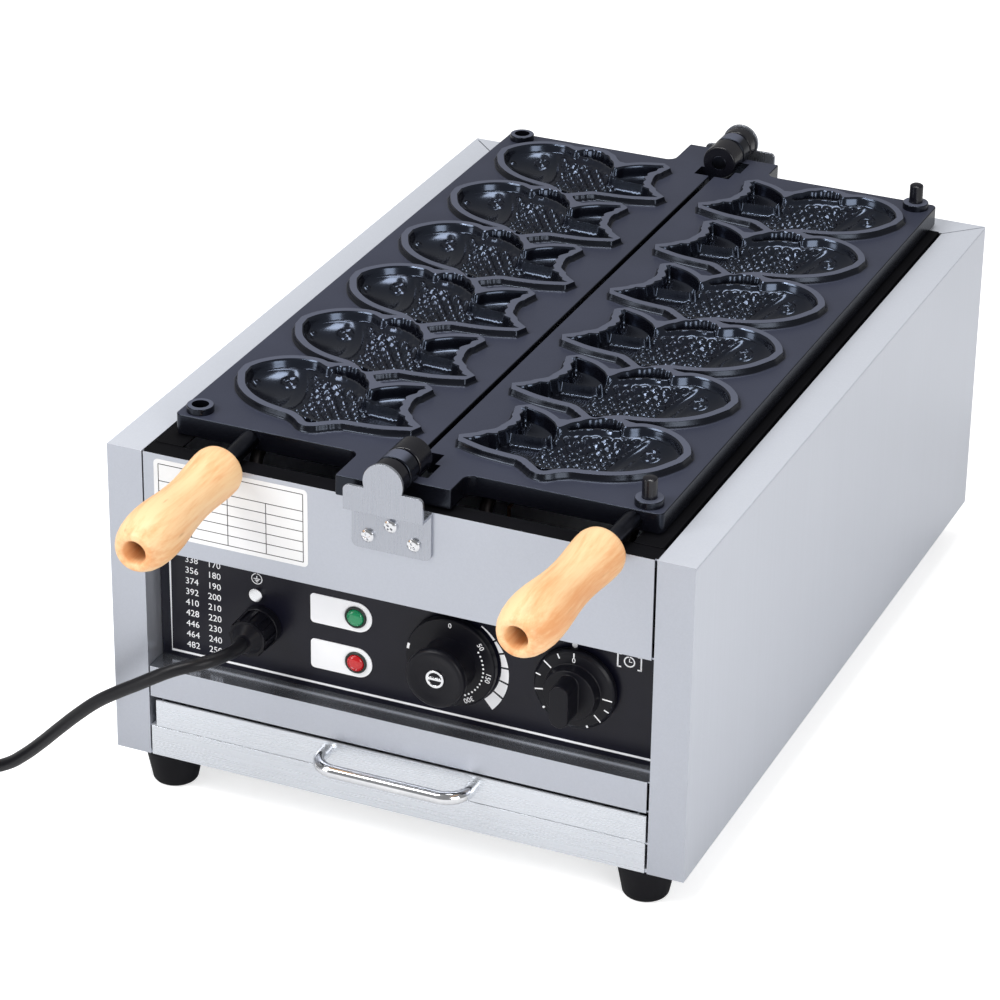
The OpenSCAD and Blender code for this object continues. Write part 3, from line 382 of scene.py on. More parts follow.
def stroke(points: Sequence[tuple[float, float]], y: float, width: float) -> Piece:
    """Paints a line of even width on a face that looks to the front.

    Args:
        points: Points (x, z) along the line in bench millimetres.
        y: Depth of the painted face.
        width: Width of the line.

    Returns:
        The painted line as a thin solid.
    """
    path = np.array(points, float)
    ahead = np.gradient(path, axis=0)
    ahead /= np.linalg.norm(ahead, axis=1)[:, None]
    across = np.stack([-ahead[:, 1], ahead[:, 0]], 1) * width / 2
    outline = np.concatenate([path + across, (path - across)[::-1]])
    return painted(outline, y)


def painted(outline: np.ndarray, y: float, thick: float = PAINT) -> Piece:
    """Paints a filled outline of points (x, z) on a face that looks to the front."""
    piece = disc([spot(x, y + thick / 2, z) for x, z in outline])
    with editing(piece, "FACE"):
        bpy.ops.mesh.extrude_region_move(TRANSFORM_OT_translate={"value": (0, -thick * MM, 0)})
        face_out()
    return settled(piece, "paint")


def around(x: float, z: float, radius: float, angle: float) -> tuple[float, float]:
    """Gives the point (x, z) round a middle, with its angle in degrees clockwise from the top."""
    turn = math.radians(angle)
    return x + radius * math.sin(turn), z + radius * math.cos(turn)


def arc(
    x: float, z: float, radius: float, start: float, end: float, steps: int = 16
) -> list[tuple[float, float]]:
    """Gives points (x, z) along an arc between two angles."""
    return [around(x, z, radius, angle) for angle in np.linspace(start, end, steps + 1)]


# Shader tools


class Wire:
    """A number socket that takes part in sums by adding Math nodes."""

    def __init__(self, tree: bpy.types.NodeTree, socket: bpy.types.NodeSocket) -> None:
        """Wraps a socket of a node tree."""
        self.tree = tree
        self.socket = socket

    def _sum(self, operation: str, *values: "Wire | float") -> "Wire":
        """Adds one Math node and returns its output."""
        node = self.tree.nodes.new("ShaderNodeMath")
        node.operation = operation
        for place, value in zip(node.inputs, values, strict=False):
            if isinstance(value, Wire):
                self.tree.links.new(value.socket, place)
            else:
                place.default_value = value
        return Wire(self.tree, node.outputs[0])

    def __add__(self, other: "Wire | float") -> "Wire":
        """Adds."""
        return self._sum("ADD", self, other)

    def __radd__(self, other: float) -> "Wire":
        """Adds."""
        return self._sum("ADD", other, self)

    def __sub__(self, other: "Wire | float") -> "Wire":
        """Subtracts."""
        return self._sum("SUBTRACT", self, other)

    def __rsub__(self, other: float) -> "Wire":
        """Subtracts from a number."""
        return self._sum("SUBTRACT", other, self)

    def __mul__(self, other: "Wire | float") -> "Wire":
        """Multiplies."""
        return self._sum("MULTIPLY", self, other)

    def __rmul__(self, other: float) -> "Wire":
        """Multiplies."""
        return self._sum("MULTIPLY", other, self)

    def clamped(self) -> "Wire":
        """Keeps the value between 0 and 1."""
        return self._sum("MINIMUM", self._sum("MAXIMUM", self, 0.0), 1.0)

    def ramp(self, low: float, high: float) -> "Wire":
        """Rises smoothly from 0 at low to 1 at high."""
        node = self.tree.nodes.new("ShaderNodeMapRange")
        node.interpolation_type = "SMOOTHSTEP"
        self.tree.links.new(self.socket, node.inputs["Value"])
        node.inputs["From Min"].default_value = low
        node.inputs["From Max"].default_value = high
        return Wire(self.tree, node.outputs["Result"])


Colour = tuple[float, float, float]


class Paint:
    """A material that is being mixed."""

    def __init__(self, name: str) -> None:
        """Starts an empty material."""
        self.material = bpy.data.materials.new(name)
        self.material.use_nodes = True
        self.tree = self.material.node_tree
        self.tree.nodes.clear()

    def node(
        self,
        kind: str,
        settings: dict[str, object] | None = None,
        inputs: dict[str, object] | None = None,
        output: str | int = 0,
    ) -> Wire:
        """Adds a node.

        Args:
            kind: The node's type.
            settings: Its own properties.
            inputs: Values or wires by socket name.
            output: Name or number of the output that is wanted.

        Returns:
            That output.
        """
        made = self.tree.nodes.new(kind)
        for key, value in (settings or {}).items():
            setattr(made, key, value)
        for key, value in (inputs or {}).items():
            self.connect(made.inputs[key], value)
        return Wire(self.tree, made.outputs[output])

    def connect(self, place: bpy.types.NodeSocket, value: object) -> None:
        """Links a wire to a socket, or sets the socket's own value."""
        if isinstance(value, Wire):
            self.tree.links.new(value.socket, place)
        elif isinstance(value, tuple) and place.type == "RGBA":
            place.default_value = (*value, 1.0)
        else:
            place.default_value = value

    def place(self, scale: Point = (1, 1, 1), shift: Point = (0, 0, 0)) -> Wire:
        """Gives the piece's own coordinates, scaled and shifted."""
        own = self.node("ShaderNodeTexCoord", output="Object")
        return self.node(
            "ShaderNodeMapping", inputs={"Vector": own, "Scale": scale, "Location": shift}
        )

    def height(self) -> Wire:
        """Gives the height of a point in metres."""
        own = self.node("ShaderNodeTexCoord", output="Object")
        return self.node("ShaderNodeSeparateXYZ", inputs={"Vector": own}, output="Z")

    def noise(self, vector: Wire, scale: float, detail: float = 2, rough: float = 0.5) -> Wire:
        """Gives a cloudy value from 0 to 1."""
        return self.node(
            "ShaderNodeTexNoise",
            inputs={"Vector": vector, "Scale": scale, "Detail": detail, "Roughness": rough},
        )

    def blend(self, share: Wire | float, first: object, second: object) -> Wire:
        """Mixes two colours."""
        made = self.tree.nodes.new("ShaderNodeMix")
        made.data_type = "RGBA"
        self.connect(made.inputs[0], share)
        self.connect(made.inputs[6], first)
        self.connect(made.inputs[7], second)
        return Wire(self.tree, made.outputs[2])

    def bump(self, height: Wire, strength: float, distance: float) -> Wire:
        """Turns a height from 0 to 1 into a relief of some millimetres."""
        return self.node(
            "ShaderNodeBump",
            inputs={"Height": height, "Strength": strength, "Distance": distance * MM},
            output="Normal",
        )

    def surface(self, **sockets: object) -> bpy.types.Material:
        """Closes the material with a shader.

        Args:
            sockets: Values or wires by the shader's socket names, with _ for a space.

        Returns:
            The finished material.
        """
        shader = self.tree.nodes.new("ShaderNodeBsdfPrincipled")
        for key, value in sockets.items():
            self.connect(shader.inputs[key.replace("_", " ")], value)
        out = self.tree.nodes.new("ShaderNodeOutputMaterial")
        self.tree.links.new(shader.outputs[0], out.inputs[0])
        return self.material


# Finishes


@dataclass(frozen=True)
class BrushedSteel:
    """Sheet steel with a fine brushed grain."""

    name: str
    grain: Point = (900.0, 900.0, 7.0)
    light: Colour = (0.77, 0.8, 0.87)
    dark: Colour = (0.65, 0.68, 0.75)
    roughness: float = 0.33
    metallic: float = 0.86
    satin: float = 0.52

    def mixed(self) -> bpy.types.Material:
        """Builds the material."""
        paint = Paint(self.name)
        streak = paint.noise(paint.place(self.grain), 1.0, 3, 0.6)
        cloud = paint.noise(paint.place(), 7.0, 2)
        share = (streak * 0.7 + cloud * 0.5 - 0.1).clamped()
        own = paint.node("ShaderNodeTexCoord", output="Normal")
        upward = paint.node("ShaderNodeSeparateXYZ", inputs={"Vector": own}, output="Z")
        return paint.surface(
            Base_Color=paint.blend(share, self.dark, self.light),
            Metallic=self.metallic - upward.ramp(0.8, 0.98) * self.satin,
            Roughness=streak * 0.16 + (self.roughness - 0.06),
            Normal=paint.bump(streak, 0.12, 0.05),
        )


@dataclass(frozen=True)
class PlainMetal:
    """Bare, plated or polished metal with faint stains."""

    name: str
    colour: Colour
    shade: Colour
    roughness: float
    stain: float = 60.0

    def mixed(self) -> bpy.types.Material:
        """Builds the material."""
        paint = Paint(self.name)
        cloud = paint.noise(paint.place(), self.stain, 4, 0.6)
        fine = paint.noise(paint.place(), 1800.0, 2)
        return paint.surface(
            Base_Color=paint.blend(cloud.ramp(0.35, 0.7), self.shade, self.colour),
            Metallic=1.0,
            Roughness=(cloud * 0.14 + (self.roughness - 0.07)).clamped(),
            Normal=paint.bump(fine, 0.05, 0.03),
        )


@dataclass(frozen=True)
class Coating:
    """Coating of the castings, satin on top, glossy on walls and in the moulds, which a near-black
    painted shade darkens; the rim tops get a lighter painted highlight.
    """

    name: str
    sunk: bool = False
    face: Colour = (0.04, 0.044, 0.068)
    # painted highlight colour: the same coating drawn lighter on the rim tops
    edge: Colour = (0.082, 0.09, 0.125)
    # painted shade colour: the same coating drawn near black on walls and in the moulds
    wall: Colour = (0.004, 0.0042, 0.007)
    rim_top: float = 223.3

    def mixed(self) -> bpy.types.Material:
        """Builds the material."""
        paint = Paint(self.name)
        grain = paint.noise(paint.place(), 900.0, 3, 0.6)
        cloud = paint.noise(paint.place(), 16.0, 3)
        # painted shade: the near-black wall colour with a random tone
        deep = paint.blend(cloud.ramp(0.3, 0.75), tuple(c * 0.7 for c in self.wall), self.wall)
        # the moulds take the painted shade all over
        if self.sunk:
            return paint.surface(
                Base_Color=deep,
                Roughness=grain * 0.08 + 0.14,
                Specular_IOR_Level=0.75,
                Specular_Tint=(0.6, 0.73, 1.0),
                Normal=paint.bump(grain, 0.08, 0.1),
            )
        top = (self.rim_top + FOOT_H) * MM
        # painted highlight: a lighter band at the height of the rim tops
        rim = paint.height().ramp(top - 0.9 * MM, top - 0.2 * MM)
        # painted shade: faces that turn away from the top take the dark wall colour
        own = paint.node("ShaderNodeTexCoord", output="Normal")
        upward = paint.node("ShaderNodeSeparateXYZ", inputs={"Vector": own}, output="Z")
        upward = upward.ramp(0.72, 0.97)
        flat = paint.blend(cloud.ramp(0.3, 0.75), tuple(c * 0.85 for c in self.face), self.face)
        flat = paint.blend(rim, flat, self.edge)
        return paint.surface(
            Base_Color=paint.blend(upward, deep, flat),
            Roughness=grain * 0.1 + upward * 0.16 + 0.2,
            Specular_IOR_Level=0.4,
            Specular_Tint=(0.7, 0.8, 1.0),
            Normal=paint.bump(grain, 0.2, 0.12),
        )


@dataclass(frozen=True)
class Wood:
    """Pale turned wood whose grain runs along the grips."""

    name: str
    pale: Colour = (0.94, 0.63, 0.34)
    streak: Colour = (0.8, 0.36, 0.14)
    knot: Colour = (0.36, 0.13, 0.045)

    def mixed(self) -> bpy.types.Material:
        """Builds the material."""
        paint = Paint(self.name)
        wander = paint.noise(paint.place((1, 0.3, 1)), 24.0, 2)
        bands = paint.noise(paint.place((75, 7, 75)), 1.0, 5, 0.68)
        fine = paint.noise(paint.place((420, 14, 420)), 1.0, 3, 0.6)
        share = (bands * 1.5 + wander * 0.9 + fine * 0.3 - 0.84).clamped()
        warm = paint.blend(share.ramp(0.3, 0.85), self.pale, self.streak)
        speck = paint.noise(paint.place((160, 30, 160)), 1.0, 2)
        return paint.surface(
            Base_Color=paint.blend(speck.ramp(0.68, 0.78) * 0.45, warm, self.knot),
            Roughness=(0.42 + fine * 0.2).clamped(),
            Coat_Weight=0.12,
            Coat_Roughness=0.3,
            Normal=paint.bump(fine, 0.22, 0.15),
        )


@dataclass(frozen=True)
class Moulded:
    """Paint, plastic, rubber, glass or ceramic with a fine skin."""

    name: str
    colour: Colour
    shade: Colour
    roughness: float
    grain: float = 1400.0
    relief: float = 0.12
    coat: float = 0.0
    shine: float = 0.28

    def mixed(self) -> bpy.types.Material:
        """Builds the material."""
        paint = Paint(self.name)
        grain = paint.noise(paint.place(), self.grain, 3, 0.6)
        cloud = paint.noise(paint.place(), 30.0, 3)
        return paint.surface(
            Base_Color=paint.blend(cloud.ramp(0.3, 0.75), self.shade, self.colour),
            Roughness=(self.roughness - 0.05 + grain * 0.1).clamped(),
            Specular_IOR_Level=self.shine,
            Coat_Weight=self.coat,
            Coat_Roughness=0.08,
            Normal=paint.bump(grain, self.relief, 0.08),
        )


@dataclass
class Palette:
    """Every finish of the maker, mixed once."""

    recipes: dict[str, object] = field(
        default_factory=lambda: {
            "steel": BrushedSteel("brushed_steel"),
            # painted shade: a darker copy of the brushed steel for the front sheets and the front
            # faces of the side panels
            "flange": BrushedSteel(
                "shaded_front_steel", (900.0, 7.0, 900.0), (0.55, 0.575, 0.64), (0.45, 0.475, 0.53)
            ),
            "front": BrushedSteel(
                "brushed_front", (7.0, 900.0, 900.0), (0.76, 0.79, 0.84), (0.65, 0.68, 0.73), 0.26
            ),
            # painted shade: polished steel, drawn darker, for the faces set back into the panel
            # recess
            "ledge": BrushedSteel(
                "shaded_recess_ledge", (5.0, 900.0, 900.0),
                (0.42, 0.44, 0.48), (0.3, 0.32, 0.36), 0.16, satin=0.0,
            ),
            "bracket": BrushedSteel(
                "satin_bracket", (700.0, 700.0, 40.0),
                (0.46, 0.48, 0.53), (0.36, 0.38, 0.43), 0.26, satin=0.0,
            ),
            "zinc": PlainMetal("zinc_plate", (0.56, 0.58, 0.6), (0.42, 0.44, 0.47), 0.42),
            "chrome": PlainMetal("chrome", (0.84, 0.85, 0.87), (0.74, 0.75, 0.78), 0.12, 25.0),
            "dark_steel": PlainMetal("dark_steel", (0.05, 0.053, 0.07), (0.028, 0.03, 0.04), 0.3),
            "heater": PlainMetal("heater_tube", (0.1, 0.09, 0.09), (0.05, 0.045, 0.045), 0.5),
            "copper": PlainMetal("copper", (0.3, 0.15, 0.09), (0.16, 0.08, 0.05), 0.4),
            "brass": PlainMetal("brass", (0.8, 0.6, 0.27), (0.66, 0.47, 0.18), 0.25),
            # the casting carries a painted shade on its walls and a painted highlight on its rim
            # tops
            "casting": Coating("coated_casting"),
            # painted shade: the moulds are drawn in the near-black shade colour of the coating
            "well": Coating("mould_well", sunk=True),
            "knuckle": Moulded(
                "glossy_black", (0.006, 0.006, 0.01), (0.004, 0.004, 0.007), 0.25, shine=0.5
            ),
            # painted shade: near-black paint for stainless parts that lie in the shaded hollow
            # under the plates
            "frame": Moulded(
                "painted_shade_black", (0.005, 0.005, 0.007), (0.003, 0.003, 0.004), 0.6, shine=0.08
            ),
            # painted shade: a near-black sheet colour that darkens the inside of the casing
            "shade_darkened": PlainMetal("shade_darkened_sheet", (0.09, 0.09, 0.095), (0.045, 0.045, 0.05), 0.5),
            "wood": Wood("grip_wood"),
            "panel": Moulded("panel_black", (0.006, 0.006, 0.013), (0.004, 0.004, 0.01), 0.3),
            "print": Moulded("white_print", (0.93, 0.94, 0.96), (0.88, 0.89, 0.92), 0.5),
            "label": Moulded("white_label", (0.84, 0.85, 0.86), (0.8, 0.81, 0.83), 0.42),
            "ink": Moulded("black_ink", (0.02, 0.02, 0.025), (0.035, 0.035, 0.04), 0.5),
            "plastic": Moulded(
                "black_plastic", (0.006, 0.006, 0.009), (0.004, 0.004, 0.007), 0.36, shine=0.2
            ),
            "bezel": Moulded("dark_bezel", (0.03, 0.04, 0.035), (0.02, 0.025, 0.022), 0.3),
            "rubber": Moulded(
                "black_rubber", (0.007, 0.007, 0.009), (0.004, 0.004, 0.006), 0.6, shine=0.15
            ),
            "sheath": Moulded(
                "cord_sheath", (0.007, 0.007, 0.009), (0.004, 0.004, 0.006), 0.4, shine=0.3
            ),
            "green": Moulded("green_lens", (0.01, 0.33, 0.13), (0.005, 0.2, 0.08), 0.2, coat=0.8),
            "red": Moulded("red_lens", (0.55, 0.008, 0.012), (0.3, 0.004, 0.008), 0.2, coat=0.8),
            "ceramic": Moulded("ceramic", (0.72, 0.68, 0.6), (0.62, 0.58, 0.5), 0.4, coat=0.3),
        }
    )  # fmt: skip
    mixed: dict[str, bpy.types.Material] = field(default_factory=dict)

    def of(self, finish: str) -> bpy.types.Material:
        """Gives a finish's material, mixing it at its first use."""
        if finish not in self.mixed:
            self.mixed[finish] = self.recipes[finish].mixed()
        return self.mixed[finish]

    def dress(self, piece: Piece, finish: str) -> None:
        """Puts one finish on the whole of a piece."""
        piece.data.materials.clear()
        piece.data.materials.append(self.of(finish))

    def touch_up(
        self, piece: Piece, finish: str, wanted: Callable[[Vector, Vector], bool]
    ) -> None:
        """Puts a second finish on the faces that pass a test.

        Args:
            piece: The dressed piece.
            finish: The second finish.
            wanted: Test of a face's middle, in bench millimetres, and its normal.
        """
        piece.data.materials.append(self.of(finish))
        shift = Vector((0, MIDDLE_Y, -FOOT_H))
        for face in piece.data.polygons:
            if wanted(face.center / MM + shift, face.normal):
                face.material_index = len(piece.data.materials) - 1


@dataclass
class Assembly:
    """What every sub-assembly shares."""

    palette: Palette

    def seat(self, piece: Piece, body: Body, slot: str | None, finish: str, *nodes: str) -> Piece:
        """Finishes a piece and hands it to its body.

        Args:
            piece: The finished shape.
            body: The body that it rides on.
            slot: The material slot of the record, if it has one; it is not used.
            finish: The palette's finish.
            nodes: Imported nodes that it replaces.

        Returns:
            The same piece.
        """
        self.palette.dress(piece, finish)
        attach(piece, body.value)
        if nodes:
            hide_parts(*nodes)
        log.info("%s on %s", piece.name, body.value)
        return piece


    def refine(
        self, node: str, body: Body, slot: str, finish: str, width: float, segments: int = 2
    ) -> Piece:
        """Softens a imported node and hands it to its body.

        Args:
            node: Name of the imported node.
            body: The body that it rides on.
            slot: The material slot of the record.
            finish: The palette's finish.
            width: Width of the rounding in millimetres.
            segments: Number of facets across the rounding.

        Returns:
            The softened piece.
        """
        return self.seat(softened(node, width, segments), body, slot, finish, node)


# Camera, cord and studio


@dataclass(frozen=True)
class PhotoCamera:
    """The camera that took the photograph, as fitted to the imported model."""

    azimuth: float = 23.333
    elevation: float = 27.005
    roll: float = 0.799
    distance: float = 2.169023
    lens: float = 139.244
    target: Point = (0.066483, -0.22367, 0.24603)

    def build(self) -> None:
        """Adds the camera and makes it the scene's own."""
        turn, rise, lean = (math.radians(a) for a in (self.azimuth, self.elevation, self.roll))
        back = Vector(
            (math.sin(turn) * math.cos(rise), -math.cos(turn) * math.cos(rise), math.sin(rise))
        )
        right = Vector((math.cos(turn), math.sin(turn), 0))
        above = back.cross(right)
        side = right * math.cos(lean) + above * math.sin(lean)
        top = above * math.cos(lean) - right * math.sin(lean)
        bpy.ops.object.camera_add()
        camera = bpy.context.object
        camera.name = "photo_camera"
        axes = Matrix((side, top, back)).transposed().to_4x4()
        camera.matrix_world = Matrix.Translation(Vector(self.target) + back * self.distance) @ axes
        camera.data.sensor_width = 36
        camera.data.lens = self.lens
        camera.data.clip_start = 0.05
        camera.data.dof.use_dof = False
        bpy.context.scene.camera = camera


@dataclass
class MainsCord(Assembly):
    """The free cord, its coil outside the picture and the plug beside it."""

    radius: float = 4.0
    route: tuple[Point, ...] = (
        (-94, -8, 96), (-94, -16, 96), (-95.5, -25, 97), (-99, -33, 97), (-104.5, -40, 96.5),
        (-112, -45, 95), (-120, -48, 92), (-130, -50, 86.5), (-141, -50.5, 79.5),
        (-155, -50, 70.5), (-170, -48, 59.5), (-185, -46, 46), (-200, -43.5, 31),
        (-215, -40, 15.5), (-229, -36.5, 2), (-243, -33, -9.5), (-257, -29.5, -17),
        (-271, -27, -20), (-288, -25.5, -20), (-304, -25, -20),
    )  # fmt: skip
    coil_middle: tuple[float, float] = (-312, -82)
    coil_radius: float = 57
    pitch: float = 9
    layer: float = 8.6
    turns: float = 5.25
    per_turn: int = 24

    def coil(self) -> list[Point]:
        """Winds the coil inwards on the table, then outwards in a second layer."""
        points = []
        half = (self.turns - 0.5) / 2
        for i in range(round(self.turns * self.per_turn) + 1):
            turn = i / self.per_turn
            inward = min(turn, half)
            outward = max(turn - half - 0.5, 0)
            climb = 2 * min(max(turn - half, 0), 0.5)
            reach = self.coil_radius - self.pitch * (inward - outward)
            angle = math.radians(90 + 360 * turn)
            x = self.coil_middle[0] + reach * math.cos(angle)
            y = self.coil_middle[1] + reach * math.sin(angle)
            points.append((x, y, -20 + self.layer * climb))
        return points

    def centreline(self) -> list[Vector]:
        """Gives the whole line from the gland to the plug."""
        coil = self.coil()
        x, y, z = coil[-1]
        tail = [(x, y - 14, z - 0.5), (x, y - 28, z - 1.8), (x, y - 42, -15), (x, y - 50, -15)]
        return [spot(*p) for p in (*self.route, *coil, *tail)]

    def build(self) -> None:
        """Lays the cord and puts the plug on its end."""
        line = self.centreline()
        bpy.ops.curve.primitive_bezier_curve_add()
        cord = bpy.context.object
        cord.name = "mains_cord"
        spline = cord.data.splines[0]
        spline.bezier_points.add(len(line) - 2)
        for knot, point in zip(spline.bezier_points, line, strict=True):
            knot.co = point
            knot.handle_left_type = knot.handle_right_type = "AUTO"
        cord.data.bevel_depth = self.radius * MM
        cord.data.bevel_resolution = 6
        cord.data.resolution_u = 8
        cord.data.use_fill_caps = True
        bpy.context.view_layer.update()
        self.seat(cord, Body.CASING, "cord_rubber", "sheath", "power_cord", "cord_coil")
        plug = self.refine("plug_body", Body.CASING, "black_plastic", "plastic", 1.6, 3)
        blades = self.refine("plug_blades", Body.CASING, "brass", "brass", 0.3)


@dataclass(frozen=True)
class Studio:
    """A pale floor and soft lamps round the maker."""

    lamps: tuple[tuple[str, Point, float, float], ...] = (
        ("key_lamp", (-1.2, -1.3, 1.9), 0.9, 24.0),
        ("top_lamp", (0.0, 0.25, 2.4), 0.75, 18.0),
        ("right_lamp", (1.6, -1.45, 0.8), 1.0, 17.0),
        ("left_lamp", (-1.5, -1.7, 0.6), 0.7, 6.0),
        ("spark_lamp", (-0.5, -1.1, 1.9), 0.22, 6.0),
    )
    mirrored: float = 0.28
    sky: float = 0.5

    def build(self) -> None:
        """Adds the floor, the lamps and the surroundings."""
        bpy.ops.mesh.primitive_plane_add(size=10)
        floor = settled(bpy.context.object, "studio_floor")
        floor.data.materials.append(self.floor_paint())
        for name, place, size, power in self.lamps:
            bpy.ops.object.light_add(type="AREA", location=place)
            lamp = bpy.context.object
            lamp.name = name
            lamp.data.size = size
            lamp.data.energy = power
            aim = Vector((0, 0, 0.15)) - Vector(place)
            lamp.rotation_euler = aim.to_track_quat("-Z", "Y").to_euler()
        self.surroundings()
        bpy.context.scene.view_settings.view_transform = "Standard"

    def floor_paint(self) -> bpy.types.Material:
        """Mixes the floor's paint, which is white to the eye and keeps its shadow."""
        paint = Paint("studio_floor")
        seen = paint.node("ShaderNodeLightPath", output="Is Camera Ray")
        cloud = paint.noise(paint.place(), 3.0, 2)
        return paint.surface(
            Base_Color=paint.blend(cloud * 0.2, (0.8, 0.8, 0.8), (0.78, 0.78, 0.79)),
            Roughness=0.9,
            Emission_Color=paint.blend(seen, (0, 0, 0), (0.6, 0.6, 0.6)),
            Emission_Strength=1.0,
        )

    def surroundings(self) -> None:
        """Sets the world, which is plain white where it is seen and dim where it is mirrored."""
        world = bpy.data.worlds.new("studio_world")
        bpy.context.scene.world = world
        world.use_nodes = True
        tree = world.node_tree
        tree.nodes.clear()
        path = tree.nodes.new("ShaderNodeLightPath")
        seen = Wire(tree, path.outputs["Is Camera Ray"])
        glossy = Wire(tree, path.outputs["Is Glossy Ray"])
        through = Wire(tree, path.outputs["Is Transmission Ray"])
        level = (seen + through).clamped() * (1 - self.sky) + self.sky
        level = level + glossy * (self.mirrored - self.sky)
        light = tree.nodes.new("ShaderNodeBackground")
        light.inputs["Color"].default_value = (1, 1, 1, 1)
        tree.links.new(level.socket, light.inputs["Strength"])
        out = tree.nodes.new("ShaderNodeOutputWorld")
        tree.links.new(light.outputs[0], out.inputs[0])


# Casing


@dataclass
class Casing(Assembly):
    """Sheet steel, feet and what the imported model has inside."""

    outside: dict[str, tuple[str, str, float]] = field(
        default_factory=lambda: {
            "base_pan": ("zinc_plate", "zinc", 0.3),
            "control_panel": ("black_panel", "panel", 0.2),
            # painted shade: the stainless rails are drawn near black
            "plate_rails": ("stainless", "frame", 0.3),
            "rubber_feet": ("rubber", "rubber", 1.2),
            "panel_screws": ("zinc_plate", "zinc", 0.3),
            "foot_screws": ("zinc_plate", "zinc", 0.2),
        }
    )
    inside: dict[str, str] = field(
        default_factory=lambda: {
            "left_heating_element": "heater",
            "right_heating_element": "heater",
            # painted shade: the supports and the heat shield are drawn near black to darken the
            # inside
            "element_supports": "shade_darkened",
            "heat_shield": "shade_darkened",
            "terminal_block": "ceramic",
            "drawer_runners": "zinc",
            "lamp_holders": "plastic",
            "thermostat_body": "plastic",
            "thermostat_bulb": "copper",
            "timer_body": "plastic",
            "gland_locknut": "plastic",
        }
    )

    def build(self) -> None:
        """Softens the outer sheets and gives the inner pieces their finishes."""
        for node, (slot, finish, width) in self.outside.items():
            self.refine(node, Body.CASING, slot, finish, width)
        self.front_sheet("bottom_rail", "front")
        # painted shade: the recess ledge takes the darker copy of the steel on its front
        ledge = self.front_sheet("recess_ledge", "flange")
        # painted shade: faces set back into the recess take the darker polished steel
        self.palette.touch_up(ledge, "ledge", lambda at, out: at.y > 0.6)
        # painted shade: the fascia takes the darker copy of the steel
        fascia = self.front_sheet("front_fascia", "flange")
        # painted shade: the fascia's top flange, behind its front edge, is drawn near black
        self.palette.touch_up(fascia, "frame", lambda at, out: at.y > 2.2 and out.z > 0.5)
        for node, side in (("left_side_panel", -1), ("right_side_panel", 1)):
            panel = softened(node, 0.4, cutters=[self.fold(side), self.mitre(side)])
            self.seat(panel, Body.CASING, "stainless", "steel", node)
            # painted shade: the side panels' front faces take the darker copy of the steel
            self.palette.touch_up(panel, "flange", lambda at, out: out.y < -0.7 and at.y < 1)
        back = softened("back_panel", 0.4, cutters=[self.mitre(-1), self.mitre(1)])
        self.seat(back, Body.CASING, "stainless", "steel", "back_panel")
        for node, finish in self.inside.items():
            self.palette.dress(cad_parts[node], finish)

    def front_sheet(self, node: str, finish: str) -> Piece:
        """Softens a sheet of the front and opens the dark seams at its ends."""
        seams = [
            block("left_seam", (-163, -1, -1), (-161, 1.5, 206)),
            block("right_seam", (160.4, -1, -1), (163, 1.5, 206)),
        ]
        sheet = softened(node, 0.4, cutters=seams)
        return self.seat(sheet, Body.CASING, "stainless", finish, node)

    def fold(self, side: int) -> Piece:
        """Shapes the fine groove under the fold of a side panel."""
        ends = sorted((side * 184.75, side * 186))
        return block("fold", (ends[0], -1, 203.75), (ends[1], 536, 204.15))

    def mitre(self, side: int) -> Piece:
        """Shapes the gap between the top flanges of the side and the back."""
        bpy.ops.mesh.primitive_cube_add(
            size=1,
            location=spot(side * 173.6, 521.8, 205),
            rotation=(0, 0, side * math.pi / 4),
            scale=(40 * MM, 0.7 * MM, 3 * MM),
        )
        return settled(bpy.context.object, "mitre")


def rounded(
    x0: float, z0: float, x1: float, z1: float, radii: tuple[float, float, float, float]
) -> np.ndarray:
    """Gives a rectangle with rounded corners as points (x, z).

    Args:
        x0: Left side.
        z0: Lower side.
        x1: Right side.
        z1: Upper side.
        radii: Radii at the lower left, lower right, upper right and upper left corner.

    Returns:
        The outline, counter-clockwise.
    """
    a, b, c, d = radii
    return np.array(
        arc(x0 + a, z0 + a, a, 270, 180, 8)
        + arc(x1 - b, z0 + b, b, 180, 90, 12)
        + arc(x1 - c, z1 - c, c, 90, 0, 12)
        + arc(x0 + d, z1 - d, d, 0, -90, 8)
    )


@dataclass
class DataLabel(Assembly):
    """The white label on the fascia, with bare ruled rows."""

    x0: float = -154
    x1: float = -54
    z0: float = 152
    z1: float = 202
    margin: float = 3
    title_h: float = 11

    def build(self) -> None:
        """Cuts the label and rules its rows and columns."""
        label = painted(rounded(self.x0, self.z0, self.x1, self.z1, (3, 3, 3, 3)), -0.15, 0.28)
        label.name = "data_label"
        self.seat(label, Body.CASING, "white_print", "label", "data_plate")
        left, right = self.x0 + self.margin, self.x1 - self.margin
        low, high = self.z0 + self.margin, self.z1 - self.margin
        rows = np.linspace(low, high - self.title_h, 6)
        lines = [stroke([(left, z), (right, z)], -0.3, 0.5) for z in (*rows, high)]
        for x in (left, left + 21, left + 45, left + 70, right):
            top = high if x in (left, right) else high - self.title_h
            lines.append(stroke([(x, low), (x, top)], -0.3, 0.5))
        self.seat(joined("label_rules", lines), Body.CASING, None, "ink")


